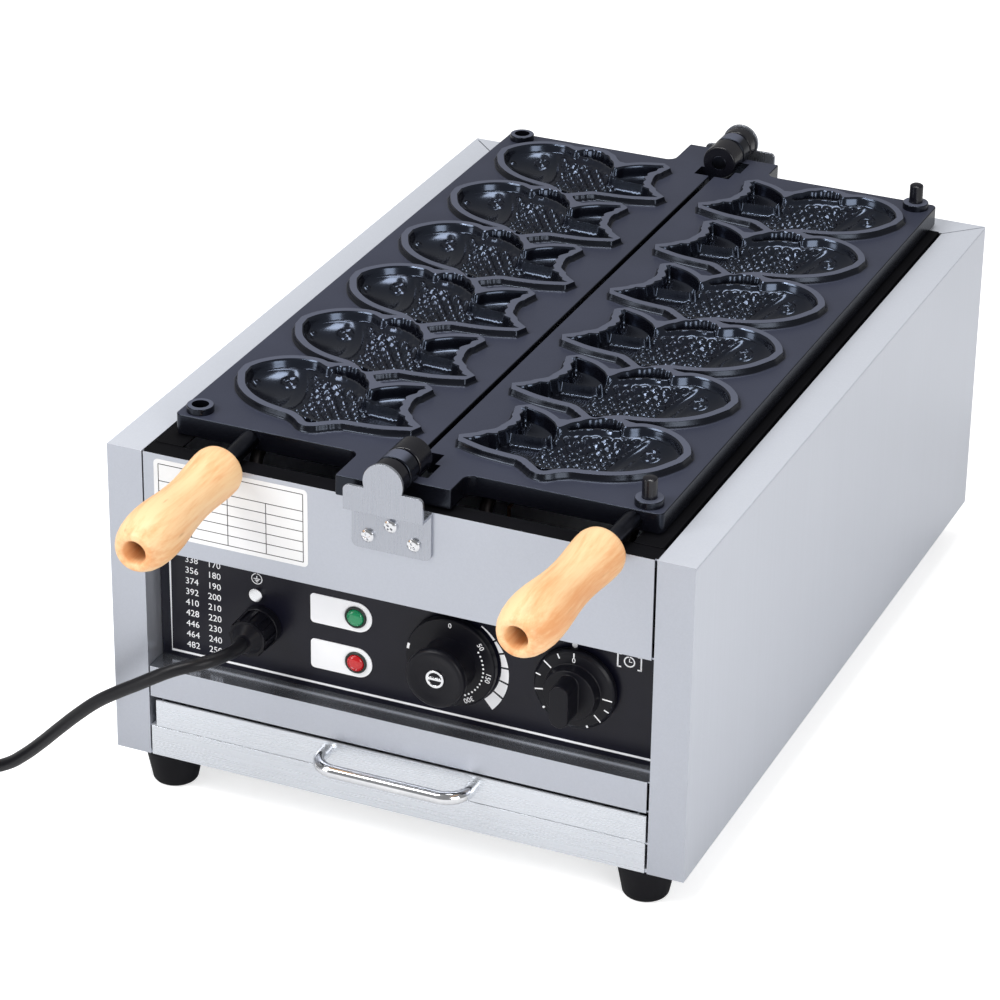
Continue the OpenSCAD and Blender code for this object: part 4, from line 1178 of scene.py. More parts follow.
@dataclass
class Panel(Assembly):
    """Prints, lamps, plaques and cord gland of the black control panel."""

    face: float = 18.0
    lamps: tuple[tuple[str, str, float], ...] = (
        ("power_lamp", "green", 115.6),
        ("heat_lamp", "red", 85.2),
    )
    lamp_x: float = -32.0
    border: tuple[tuple[float, float], ...] = (
        (-155, 140.8), (-155, 65), (156.5, 65), (156.5, 140.8),
    )  # fmt: skip
    columns: tuple[float, float] = (-140.5, -125.5)
    degrees: tuple[int, ...] = (160, *range(170, 251, 10))
    rows: tuple[float, ...] = (135.9, *(128.7 - 7.21 * i for i in range(9)))
    wedge_r: float = 29.8
    wedge_edges: tuple[float, ...] = (34, 57, 73, 90, 107, 124, 142)

    def build(self) -> None:
        """Adds everything that sits on the panel."""
        self.seat(self.prints(), Body.CASING, "white_print", "print")
        plaques = [
            painted(rounded(-61.6, z - 9.7, -21.6, z + 9.7, (2.5, 9.7, 9.7, 2.5)), 17.75, 0.48)
            for _, _, z in self.lamps
        ]
        plates = joined("lamp_plaques_look", plaques)
        self.seat(plates, Body.CASING, "white_print", "print", "lamp_plaques")
        for node, finish, z in self.lamps:
            self.seat(self.lens(node, z), Body.CASING, f"{finish}_lens", finish, node)
            self.seat(self.bezel(node, z), Body.CASING, "black_plastic", "bezel")
        for node in ("gland_body", "gland_nut"):
            self.refine(node, Body.CASING, "black_plastic", "plastic", 0.7, 3)
        self.refine("earth_screw", Body.CASING, "chrome", "chrome", 0.3)

    def lens(self, node: str, z: float) -> Piece:
        """Turns a lamp's domed lens."""
        turns = np.linspace(0, math.pi / 2, 9)
        dome = [(5.4 * math.cos(a), 1.6 + 2.2 * math.sin(a)) for a in turns]
        profile = [(0, -6), (4.6, -6), (4.6, 0.5), (5.4, 0.6), *dome]
        return smoothed(turned(f"{node}_lens", profile, on_panel(self.lamp_x, z), 48))

    def bezel(self, node: str, z: float) -> Piece:
        """Turns the dark ring round a lamp."""
        profile = [(5.5, 0.5), (7, 0.5), (7, 1.3), (6.6, 1.8), (5.9, 1.8), (5.5, 1.4), (5.5, 0.5)]
        return smoothed(turned(f"{node}_bezel", profile, on_panel(self.lamp_x, z), 48))

    def prints(self) -> Piece:
        """Paints the border, the two columns of numbers and the pictures of the panel."""
        y = self.face - PAINT / 2
        marks = [stroke(self.border, y, 1.5)]
        for celsius, z in zip(self.degrees, self.rows, strict=True):
            for x, number in zip(self.columns, (round(celsius * 1.8 + 32), celsius), strict=True):
                marks.append(lettering(str(number), 6.0, (x, y, z)))
        marks += self.wedge(*THERMOSTAT_AT, y)
        marks.append(painted(np.array(arc(106.7, 129.3, 1.7, 0, 345, 23)), y))
        marks += self.clock(140.4, 126.2, y)
        marks += self.thermometer(69.0, 125.5, y)
        marks += self.ground(-97.0, 125.5, y)
        return joined("panel_prints", marks)

    def wedge(self, x: float, z: float, y: float) -> list[Piece]:
        """Paints the scale that widens round the thermostat."""
        bands = []
        for start, end in zip(self.wedge_edges, self.wedge_edges[1:], strict=False):
            widths = [0.7 + 7.4 * max(0.0, (a - 50) / 92) ** 0.8 for a in (start, end)]
            angles = np.linspace(start, end - 2.2, 8)
            grown = np.interp(angles, (start, end), widths)
            inner = [around(x, z, self.wedge_r, a) for a in angles]
            outer = [
                around(x, z, self.wedge_r + w, a) for a, w in zip(angles, grown, strict=True)
            ]
            bands.append(painted(np.array(inner + outer[::-1]), y))
        return bands

    def brackets(self, x: float, z: float, y: float, half: float) -> list[Piece]:
        """Paints a pair of square brackets."""
        marks = []
        for side in (-1, 1):
            edge, lip = x + side * half, x + side * (half - 2.2)
            marks.append(stroke([(edge, z - 4.6), (edge, z + 4.6)], y, 0.9))
            marks += [stroke([(edge, z + h), (lip, z + h)], y, 0.9) for h in (-4.2, 4.2)]
        return marks

    def clock(self, x: float, z: float, y: float) -> list[Piece]:
        """Paints a clock in brackets."""
        marks = self.brackets(x, z, y, 7.2)
        marks.append(stroke(arc(x, z, 3.1, 0, 350, 28), y, 0.8))
        marks.append(stroke([(x, z + 2), (x, z), (x + 1.6, z)], y, 0.6))
        return marks

    def thermometer(self, x: float, z: float, y: float) -> list[Piece]:
        """Paints a thermometer in brackets."""
        marks = self.brackets(x, z, y, 7.2)
        marks.append(stroke(arc(x - 1.5, z - 2.2, 1.7, 20, 340, 20), y, 0.7))
        marks.append(stroke([(x - 1.5, z - 0.5), (x - 1.5, z + 3.6)], y, 0.8))
        marks += [stroke([(x + 1, z + h), (x + 3, z + h)], y, 0.6) for h in (0.4, 2.0, 3.6)]
        return marks

    def ground(self, x: float, z: float, y: float) -> list[Piece]:
        """Paints the sign of the earth screw."""
        marks = [stroke([(x, z + 2.6), (x, z + 0.6)], y, 0.5)]
        marks += [
            stroke([(x - w, z + h), (x + w, z + h)], y, 0.5)
            for w, h in ((2.2, 0.6), (1.4, -0.4), (0.6, -1.4))
        ]
        marks.append(stroke(arc(x, z + 0.6, 3.4, 0, 350, 28), y, 0.45))
        return marks


# Controls

SKIRT_FACE = 11.0

@dataclass
class Thermostat(Assembly):
    """Round knob with a printed skirt and a chrome insert."""

    at: tuple[float, float] = THERMOSTAT_AT

    def build(self) -> None:
        """Turns the skirt and the cap and prints the scale."""
        body = Body.THERMOSTAT
        stand = on_panel(*self.at)
        skirt = [(3.1, 2), (28.5, 2), (28.5, 5.4), (28.1, 6.4), (27.2, 7), (3.1, 7), (3.1, 2)]
        skirt = smoothed(turned("skirt", skirt, stand, 96))
        self.seat(skirt, body, "black_plastic", "plastic", "thermostat_skirt")
        cap = [
            (3.1, 7), (16.6, 7), (15.7, 10), (15.7, 20), (17.4, 22.2), (18.5, 23.4), (18.7, 24.6),
            (18.7, 26.6), (18.2, 28.0), (17.0, 28.8), (15.4, 28.7), (12.4, 27.6), (9.2, 27.1),
            (5.8, 27.0), (5.8, 25.4), (3.1, 25.4), (3.1, 7),
        ]  # fmt: skip
        cap = smoothed(turned("cap", cap, stand, 96), 50)
        self.seat(cap, body, "black_plastic", "plastic", "thermostat_cap")
        insert = self.refine("thermostat_insert", body, "chrome", "chrome", 0.2)
        self.palette.touch_up(insert, "plastic", lambda at, out: out.y < -0.9 and at.y > -9.7)
        self.palette.dress(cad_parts["thermostat_shaft"], "zinc")
        self.seat(self.scale(), body, "white_print", "print")

    def scale(self) -> Piece:
        """Prints the numbers, the chain of dots and the dash on the skirt."""
        y = SKIRT_FACE - PAINT / 2
        marks = [stroke(arc(*self.at, 27.0, -82, -74, 6), y, 1.5)]
        marks += [
            painted(np.array(arc(*around(*self.at, 21.4, a), 0.62, 0, 330, 11)), y)
            for a in np.linspace(58, 152, 14)
        ]
        for text, angle in (("0", 0), ("50", 52), ("150", 100), ("300", 150)):
            x, z = around(*self.at, 24.6, angle)
            marks.append(lettering(text, 4.6, (x, y, z), angle))
        return joined("thermostat_scale", marks)


@dataclass
class Timer(Assembly):
    """Bar knob of the timer with its printed skirt."""

    at: tuple[float, float] = TIMER_AT
    tick_r: float = 24.2
    ticks: tuple[tuple[float, float, float], ...] = (
        (-25, 3.2, 0.8), (-50, 6, 0.8), (-75, 3.2, 0.8), (-100, 5.2, 0.8), (-130, 1.4, 1.2),
        (94, 6, 0.8), (113, 3.2, 0.8), (134, 5.6, 0.8), (157, 1.4, 1.2),
    )  # fmt: skip

    def build(self) -> None:
        """Softens the knob and prints its marks."""
        self.refine("timer_knob", Body.TIMER, "black_plastic", "plastic", 0.7, 3)
        self.palette.dress(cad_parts["timer_shaft"], "zinc")
        y = SKIRT_FACE - PAINT / 2
        marks = []
        for angle, long, wide in self.ticks:
            ends = [around(*self.at, r, angle) for r in (self.tick_r - long, self.tick_r)]
            marks.append(stroke(ends, y, wide))
        x, z = self.at
        marks.append(stroke([(x, z + 21.6), (x, z + 24.4)], y, 0.8))
        marks.append(lettering("0", 4.6, (x, y, z + 19.6)))
        self.seat(joined("timer_scale", marks), Body.TIMER, "white_print", "print")


# Mould plates


def spline(points: Sequence, where: np.ndarray) -> np.ndarray:
    """Reads a smooth line through control points.

    Args:
        points: Control values, one or more columns.
        where: Stations from 0 to the last control point.

    Returns:
        One row for each station.
    """
    knots = np.asarray(points, float).reshape(len(points), -1)
    last = len(knots) - 1
    i = np.clip(np.floor(where).astype(int), 0, last - 1)
    f = (where - i)[:, None]
    before, here = knots[np.maximum(i - 1, 0)], knots[i]
    ahead, after = knots[i + 1], knots[np.minimum(i + 2, last)]
    bend = 2 * before - 5 * here + 4 * ahead - after
    twist = 3 * here - before - 3 * ahead + after
    return 0.5 * (2 * here + (ahead - before) * f + bend * f**2 + twist * f**3)


def bell(distance: np.ndarray, width: float) -> np.ndarray:
    """Gives a rounded ridge across a distance."""
    return np.exp(-((distance / width) ** 2))


def step(value: np.ndarray, low: float, high: float) -> np.ndarray:
    """Rises smoothly from 0 at low to 1 at high."""
    share = np.clip((value - low) / (high - low), 0, 1)
    return share * share * (3 - 2 * share)


@dataclass
class Fish:
    """One fish mould, drawn from the lower tail tip forwards.

    A point (a, b) lies a millimetres from the tail tip towards the head and b millimetres above
    the fish's axis. The back, the belly and the tail are control points of smooth lines; depth,
    dorsal and pelvic go with the stations of the back and the belly, and give the share of the
    deepest point and the shares of the width that the fins take.
    """

    back: tuple = (
        (16.5, 30), (30, 26), (39.5, 19.5), (44.8, 14), (49.5, 22), (57.5, 32), (66.5, 36.8),
        (75, 35.4), (80.2, 31.2), (90, 35.6), (101, 34.8), (111.5, 29.5), (119.2, 21), (122.8, 13),
    )  # fmt: skip
    belly: tuple = (
        (0, -21.6), (16, -27), (30, -29), (42, -30.5), (50, -36), (58, -41.5), (64.5, -36.5),
        (72, -32), (80.5, -30.2), (91, -27.4), (100, -23.2), (107.5, -17.8), (115, -9.5),
        (121.8, 4),
    )  # fmt: skip
    tail: tuple = (
        (0, -21.6), (4.5, -18), (9, -11.5), (14.5, -7.8), (16.5, -1), (19, 7), (19.5, 13),
        (16.7, 23), (15, 29), (16, 31.5),
    )  # fmt: skip
    depth: tuple = (0.8, 0.84, 0.84, 0.84, 0.9, 0.95, 1, 1, 1, 1, 0.97, 0.88, 0.7, 0.45)
    dorsal: tuple = (0, 0, 0, 0.01, 0.08, 0.115, 0.125, 0.09, 0, 0, 0, 0, 0, 0)
    pelvic: tuple = (0, 0, 0, 0.01, 0.08, 0.13, 0.09, 0.02, 0, 0, 0, 0, 0, 0)
    deepest: float = 12.3
    fin: float = 7.0
    rim_w: float = 7.9
    tips: tuple[tuple[float, float], ...] = ((0, -21.6), (16, 31.5))
    root: tuple[float, float] = (34, -2)
    point: float = 0.34
    ribbed: tuple[float, float, float] = (39, 52, -30)
    rib_pitch: float = 3.2
    scallops: tuple[float, float, float] = (46.5, 80, 6.7)
    scale: tuple[float, float] = (6.8, 9.4)
    bead: tuple[float, float] = (3.0, 2.75)
    gill: tuple[float, float, float] = (143, -2, 60)
    eye: tuple[float, float] = (100.8, 20.2)
    lips: tuple[tuple[float, float, float], ...] = ((117.6, 10.5, 1.5), (118.2, 4.2, 1.3))
    ray_pitch: float = 3.6
    along: int = 150
    across: int = 84

    def plan(self, s: np.ndarray, t: np.ndarray) -> np.ndarray:
        """Gives the points (a, b) at stations s along the fish and shares t across it."""
        low, high = spline(self.belly, s), spline(self.back, s)
        share = t[:, None]
        straight = np.array(self.belly[0]) * (1 - share) + np.array(self.back[0]) * share
        pull = spline(self.tail, t * (len(self.tail) - 1)) - straight
        place = low * (1 - share) + high * share + pull * np.clip(1 - s / 3.5, 0, 1)[:, None] ** 2
        place[:, 0] += 1.7 * np.abs(np.sin(math.pi * 8 * t)) * np.clip(1 - s / 0.8, 0, 1)
        along = place[:, 0]
        first, last, pitch = self.scallops
        lobed = 1.3 * np.abs(np.sin(math.pi * (along - first) / pitch)) - 0.7
        place[:, 1] += lobed * step(along, first, first + 1.5) * step(last - along, 0.5, 2) * t**12
        return place

    def outline(self) -> np.ndarray:
        """Gives the edge of the mould, counter-clockwise from the lower tail tip."""
        last = len(self.back) - 1
        s, t = np.linspace(0, last, 160), np.linspace(0, 1, 60)
        parts = (
            self.plan(s, s * 0),
            self.plan(t * 0 + last, t)[1:],
            self.plan(s[::-1], s * 0 + 1)[1:],
            self.plan(t * 0, t[::-1])[1:-1],
        )
        return np.concatenate(parts)

    def foot(self, points: np.ndarray, edge: np.ndarray) -> np.ndarray:
        """Gives the point of the edge that is nearest to each point."""
        nearest = np.full(len(points), np.inf)
        found = points.copy()
        for a, d in zip(edge, np.roll(edge, -1, 0) - edge, strict=True):
            on_edge = a + np.clip(((points - a) @ d) / (d @ d), 0, 1)[:, None] * d
            away = ((points - on_edge) ** 2).sum(1)
            closer = away < nearest
            nearest[closer], found[closer] = away[closer], on_edge[closer]
        return found

    def gap(self, points: np.ndarray, edge: np.ndarray) -> np.ndarray:
        """Measures how far each point is from the edge."""
        return np.linalg.norm(points - self.foot(points, edge), axis=1)

    def outward(self, edge: np.ndarray) -> np.ndarray:
        """Gives the outward direction at each point of the edge."""
        ahead = np.roll(edge, -1, 0) - np.roll(edge, 1, 0)
        ahead /= np.linalg.norm(ahead, axis=1)[:, None]
        return np.stack([ahead[:, 1], -ahead[:, 0]], 1)

    def rims(self, shares: Sequence[float]) -> list[np.ndarray]:
        """Grows the edge by shares of the rim's width, evenly paced, with no crossings.

        Args:
            shares: Shares of the width at the rim's foot.

        Returns:
            One outline (a, b) for each share.
        """
        edge = self.outline()
        grown = edge + self.outward(edge) * self.rim_w
        grown = grown[self.gap(grown, edge) > self.rim_w - 0.03]
        for tip in self.tips:
            away = grown - tip
            reach = np.linalg.norm(away, axis=1)
            out = np.array(tip, float) - self.root
            lean = np.arccos(np.clip(away @ out / reach / np.linalg.norm(out), -1, 1))
            close = reach < self.rim_w + 0.3
            grown[close] += away[close] * (self.point * bell(lean[close], 0.6))[:, None]
        first, last, side = self.ribbed
        ribs = (grown[:, 0] > first) & (grown[:, 0] < last) & (grown[:, 1] < side)
        grown[ribs, 1] -= 0.9 * np.abs(np.sin(math.pi * grown[ribs, 0] / self.rib_pitch))
        loop = np.concatenate([grown, grown[:1]])
        walked = np.concatenate([[0], np.cumsum(np.linalg.norm(np.diff(loop, axis=0), axis=1))])
        stops = np.linspace(0, walked[-1], round(walked[-1]), endpoint=False)
        base = np.stack([np.interp(stops, walked, loop[:, i]) for i in (0, 1)], 1)
        foot = self.foot(base, edge)
        return [foot + (base - foot) * share for share in shares]

    def floor(self, s: np.ndarray, t: np.ndarray, place: np.ndarray) -> np.ndarray:
        """Gives the height of the mould's floor under the rim's top.

        Args:
            s: Stations along the fish.
            t: Shares across it.
            place: The points (a, b) that belong to them.

        Returns:
            Heights, which are negative.
        """
        a, b = place.T
        full = spline(self.depth, s)[:, 0] * self.deepest
        dorsal, pelvic = spline(self.dorsal, s)[:, 0], spline(self.pelvic, s)[:, 0]
        u = np.clip((t - pelvic) / (1 - pelvic - dorsal), 0, 1)
        tail = step(46 - a, 0, 6)
        body = full * np.sin(math.pi * u).clip(0) ** (0.5 - 0.32 * tail)
        fins = np.zeros_like(a)
        for inside, fin in ((t - 1 + dorsal, dorsal), (pelvic - t, pelvic)):
            fins = np.maximum(fins, step(inside * 62, 0.4, 2.6) * step(fin, 0.02, 0.06))
        sill = 5.0 - 2.6 * step(np.where(u > 0.5, dorsal, pelvic), 0.02, 0.06)
        wall = step(self.gap(place, self.outline()), 0, 2.2 - 0.7 * tail)
        sink = np.maximum.reduce([body, fins * self.fin, sill])
        ridge = bell(b - 3.2 - 0.05 * (a - 20), 1.5) * step(47 - a, 0, 3)
        return -sink * wall * (1 - 0.66 * ridge) + self.relief(a, b, u, tail) * wall

    def relief(self, a: np.ndarray, b: np.ndarray, u: np.ndarray, tail: np.ndarray) -> np.ndarray:
        """Gives the scales, gill, eye, mouth and tail rays above the floor."""
        gill = np.hypot(a - self.gill[0], b - self.gill[1]) - self.gill[2]
        flank = step(u, 0.05, 0.12) * step(1 - u, 0.05, 0.12)
        trunk = step(a, 38, 43) * step(gill, 0.8, 2.2) * flank
        scales = np.zeros_like(a)
        for shift in (0, 0.5):
            da, db = (
                ((value / pitch + shift) % 1 - 0.5) * pitch / radius
                for value, pitch, radius in zip((a, b), self.scale, self.bead, strict=True)
            )
            scales = np.maximum(scales, 1 - da**2 - db**2)
        out = 2.0 * scales.clip(0) ** 0.62 * trunk
        out += 1.2 * bell(gill + 0.6, 1.0) * flank + 0.5 * bell(gill + 9, 2.0) * flank
        eye = np.hypot(a - self.eye[0], b - self.eye[1])
        out += 1.2 * bell(eye - 4.4, 0.8) + 1.6 * bell(eye, 1.7)
        for x, y, height in self.lips:
            out += height * bell(np.hypot(a - x, b - y), 1.7)
        fan = np.degrees(np.arctan2(b + 3, 58 - a))
        rays = 0.5 + 0.5 * np.cos(2 * math.pi * fan / self.ray_pitch)
        return out + 0.45 * rays * tail * step(a, 16, 24) * step(2 - b, 0, 3)

    def cutter(self, name: str, x0: float, y0: float, top: float) -> Piece:
        """Shapes a grid into the solid that cuts one mould.

        Args:
            name: Name of the new piece.
            x0: Distance of the lower tail tip from the hinge.
            y0: Depth of the fish's axis.
            top: Height of the rim's top.

        Returns:
            The closed cutter.
        """
        nx, ny = self.along + 4, self.across + 4
        bpy.ops.mesh.primitive_grid_add(x_subdivisions=nx - 1, y_subdivisions=ny - 1, size=2)
        piece = bpy.context.object
        unit = np.array([v.co[:2] for v in piece.data.vertices])
        i = np.rint((unit[:, 0] + 1) / 2 * (nx - 1)) - 2
        j = np.rint((unit[:, 1] + 1) / 2 * (ny - 1)) - 2
        ring = np.maximum.reduce([-i, i - self.along + 1, -j, j - self.across + 1, i * 0])
        p = i.clip(0, self.along - 1) / (self.along - 1)
        q = j.clip(0, self.across - 1) / (self.across - 1)
        p = 0.75 * p + 0.25 * (1 - np.cos(math.pi * p)) / 2
        q = 0.55 * q + 0.45 * (1 - np.cos(math.pi * q)) / 2
        s = p * (len(self.back) - 1)
        place = self.plan(s, q)
        height = self.floor(s, q, place) - 0.5
        edge = self.outline()
        out = ring > 0
        height[out] = np.where(ring[out] == 1, 0.0, 1.5)
        nearest = [int(((edge - point) ** 2).sum(1).argmin()) for point in place[out]]
        place[out] += self.outward(edge)[nearest] * 0.4
        low = [spot(x0 + a, y0 + b, top + h) for (a, b), h in zip(place, height, strict=True)]
        piece.data.vertices.foreach_set("co", np.array(low).ravel())
        with editing(piece):
            bpy.ops.mesh.remove_doubles(threshold=SAME_SPOT)
            bpy.ops.mesh.select_all(action="DESELECT")
            bpy.ops.mesh.select_non_manifold()
            bpy.ops.mesh.edge_face_add()
            face_out()
        return settled(piece, name)


@dataclass(frozen=True)
class Half:
    """What sets one plate apart from the other.

    Attributes:
        side: The half of the maker.
        body: The body that the plate is.
        lug_y: Depth of the front lug's front edge.
        knuckles: Depths at which each front knuckle starts and ends.
        knuckle_finish: The palette's finish of the knuckles.
        boss_r: Radius of the bosses at the outer corners.
        hole: Radius and depth of the holes in the bosses.
    """

    side: Side
    body: Body
    lug_y: float
    knuckles: tuple[tuple[float, float], ...]
    knuckle_finish: str
    boss_r: float
    hole: tuple[float, float]

    @property
    def node(self) -> str:
        """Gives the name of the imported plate."""
        return f"{self.side.name.lower()}_mould_plate"


@dataclass
class MouldPlates(Assembly):
    """The two cast plates with their moulds, knuckles, sockets and pins."""

    x0: float = 1.5
    x1: float = 154.0
    y0: float = 27.0
    low: float = 206.0
    top: float = 219.0
    rim_top: float = 223.3
    hinge_z: float = 223.45
    lug_w: float = 32.5
    fillet: float = 6.0
    knuckle_r: float = 11.5
    clearance: float = 0.8
    flare: tuple[tuple[float, float], ...] = (
        (1, -3), (1, 0), (0.84, 0.35), (0.74, 1.2), (0.68, 2.6), (0.62, 4.3),
    )  # fmt: skip
    fish_x0: float = 16.0
    fish_y0: float = 83.5
    pitch: float = 77.0
    count: int = 6
    locator: tuple[float, float] = (142.0, 37.0)
    recess_w: float = 24.8
    recess_y: tuple[float, float] = (30.0, 44.0)
    notch_w: float = 16.0
    notch_y: tuple[float, float] = (13.0, 31.0)
    bore_r: float = 5.1
    fish: Fish = field(default_factory=Fish)
    left: Half = Half(
        Side.LEFT, Body.LEFT_PLATE, -5.0,
        ((-11.0, -1.0), (13.5, 30.0)), "knuckle", 8.2, (5.2, 14.0),
    )  # fmt: skip
    right: Half = Half(
        Side.RIGHT, Body.RIGHT_PLATE, 5.0,
        ((0.5, 12.0),), "casting", 8.5, (4.6, 4.3),
    )  # fmt: skip

    def outline(self, lug_y: float) -> np.ndarray:
        """Draws the slab with its front and rear lug.

        Args:
            lug_y: Depth of the front lug's front edge.

        Returns:
            Points (x, y), counter-clockwise.
        """
        lug, f = self.x0 + self.lug_w, self.fillet
        turn = np.radians(np.linspace(0, 90, 9))
        hollow = [(lug + f - f * math.cos(t), self.y0 - f + f * math.sin(t)) for t in turn]
        front = [(self.x0, lug_y), (lug, lug_y), *hollow]
        corner = [(self.x1 - 4 + 4 * math.sin(t), self.y0 + 4 - 4 * math.cos(t)) for t in turn]
        half = np.array(front + corner)
        other = half[::-1] * (1, -1) + (0, 2 * HINGE_MID)
        return np.concatenate([half, other])

    def knuckles(self, half: Half, extra: float) -> list[Piece]:
        """Turns the knuckles of one plate at both ends, grown by a clearance."""
        pieces = []
        for start, end in half.knuckles:
            a, b = start - min(extra, 0.75), end + min(extra, 0.75)
            for p, q in ((a, b), (2 * HINGE_MID - b, 2 * HINGE_MID - a)):
                ends = [(0, y, self.hinge_z) for y in (p, q)]
                pieces.append(rod("knuckle", *ends, self.knuckle_r + extra))
        return pieces

    def upright(self, x: float, y: float, z0: float, z1: float, r: float) -> Piece:
        """Adds an upright bar."""
        return rod("upright", (x, y, z0), (x, y, z1), r, 48)

    def plate(self, half: Half, other: Half) -> Piece:
        """Builds one whole plate.

        Args:
            half: The plate that is built.
            other: The plate whose knuckles turn between its own.

        Returns:
            The plate with its finishes.
        """
        rings = [(self.outline(half.lug_y), z) for z in (self.low, self.top)]
        plate = eased(lofted(f"{half.node}_look", rings), 0.9, 3, 60)
        rim = self.rim()
        for i in range(self.count):
            carved(plate, copied(rim, "rim_copy", self.shift(i)), Carve.ADD)
        bpy.data.objects.remove(rim)
        for y in self.both(self.locator[1]):
            boss = self.upright(self.locator[0], y, self.top - 3, self.rim_top, half.boss_r)
            carved(plate, eased(boss, 0.7, 3, 60), Carve.ADD)
        if half is self.left:
            self.mirror(plate)
        self.slot(plate, "recess", -self.recess_w / 2, self.recess_w / 2, self.recess_y)
        for tool in self.knuckles(other, self.clearance):
            carved(plate, tool, Carve.CUT)
        self.palette.dress(plate, "casting")
        for tool in self.knuckles(half, 0):
            eased(tool, 1.1, 3, 60)
            self.palette.dress(tool, half.knuckle_finish)
            carved(plate, tool, Carve.ADD)
        if half is self.right:
            self.slot(plate, "notch", -1, self.notch_w, self.notch_y)
        for y in (-20.0, 2 * HINGE_MID - 40.0):
            ends = [(0, y + along, self.hinge_z) for along in (0, 60)]
            carved(plate, rod("pin_bore", *ends, self.bore_r, 48), Carve.CUT)
        self.drill(plate, half)
        carved(plate, self.moulds(half), Carve.CUT)
        return smoothed(plate, 42)

    def rim(self) -> Piece:
        """Raises the flared rim round the first mould."""
        shares, rises = zip(*self.flare, strict=True)
        rings = [
            (outline + (self.fish_x0, self.fish_y0), self.top + rise)
            for outline, rise in zip(self.fish.rims(shares), rises, strict=True)
        ]
        return eased(lofted("rim", rings), 0.45, 2, 50)

    def slot(
        self, plate: Piece, name: str, x0: float, x1: float, span: tuple[float, float]
    ) -> None:
        """Cuts a square slot right through the plate at its front and at its rear.

        Args:
            plate: The plate that changes.
            name: Name of the cutter.
            x0: Left side.
            x1: Right side.
            span: Depths at which the front slot starts and ends.
        """
        start, end = span
        for y in (start, 2 * HINGE_MID - end):
            tool = block(name, (x0, y, self.low - 2), (x1, y + end - start, self.top + 3))
            carved(plate, tool, Carve.CUT)

    def both(self, y: float) -> tuple[float, float]:
        """Gives a depth at the front and the same one at the rear."""
        return y, 2 * HINGE_MID - y

    def shift(self, i: int) -> Vector:
        """Gives the way from the first mould to another one."""
        return Vector((0, i * self.pitch * MM, 0))

    def moulds(self, half: Half) -> Piece:
        """Shapes the cutters of all the moulds of one plate."""
        first = self.fish.cutter("mould", self.fish_x0, self.fish_y0, self.rim_top)
        rest = [copied(first, f"mould_{i}", self.shift(i)) for i in range(1, self.count)]
        tool = joined("moulds", [first, *rest])
        self.palette.dress(tool, "well")
        if half is self.left:
            self.mirror(tool)
        return tool

    def mirror(self, piece: Piece) -> None:
        """Mirrors a piece across the middle and turns its faces out again."""
        piece.data.transform(Matrix.Scale(-1, 4, (1, 0, 0)))
        with editing(piece):
            face_out()

    def drill(self, plate: Piece, half: Half) -> None:
        """Drills the rod's bore and the sockets or the pins' seats."""
        grip = HandleFrame(half.side)
        carved(plate, rod("rod_bore", grip.at(-12), grip.at(3), 5.6, 48), Carve.CUT)
        x, (radius, depth) = half.side.value * self.locator[0], half.hole
        for y in self.both(self.locator[1]):
            hole = self.upright(x, y, self.rim_top - depth, self.rim_top + 5, radius)
            carved(plate, hole, Carve.CUT)

    def build(self) -> None:
        """Builds both plates and the locating pins."""
        for half, other in ((self.left, self.right), (self.right, self.left)):
            piece = self.plate(half, other)
            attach(piece, half.body.value)
            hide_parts(half.node)
            log.info("%s has %d faces", piece.name, len(piece.data.polygons))
        pins = joined("locating_pins_look", [self.pin(y) for y in self.both(self.locator[1])])
        self.seat(pins, Body.RIGHT_PLATE, "chrome", "knuckle", "locating_pins")

    def pin(self, y: float) -> Piece:
        """Turns one locating pin with its blunt end."""
        profile = [(0, -4.2), (4.5, -4.2), (4.5, 11.0), (4.2, 11.8), (3.3, 12.4), (0, 12.6)]
        stand = Matrix.Translation(spot(self.locator[0], y, self.rim_top))
        return smoothed(turned("pin", profile, stand, 48))


# Handles and hinge


@dataclass(frozen=True)
class HandleFrame:
    """Where a handle's axis leaves its plate and which way it points."""

    side: Side
    y0: float = 27.0
    z0: float = 212.5
    tilt: float = 3.0

    @property
    def x0(self) -> float:
        """Gives the distance from the middle."""
        return -104.5 if self.side is Side.LEFT else 136.0

    def matrix(self) -> Matrix:
        """Gives the frame whose Z axis runs out along the handle."""
        turn = 0.0 if self.side is Side.LEFT else 4.0
        return (
            Matrix.Translation(spot(self.x0, self.y0, self.z0))
            @ Matrix.Rotation(-math.radians(turn), 4, "Z")
            @ Matrix.Rotation(math.radians(90 + self.tilt), 4, "X")
        )

    def at(self, distance: float) -> Point:
        """Gives the bench point at a distance along the handle."""
        point = self.matrix() @ Vector((0, 0, distance * MM)) / MM
        return (point.x, point.y + MIDDLE_Y, point.z - FOOT_H)


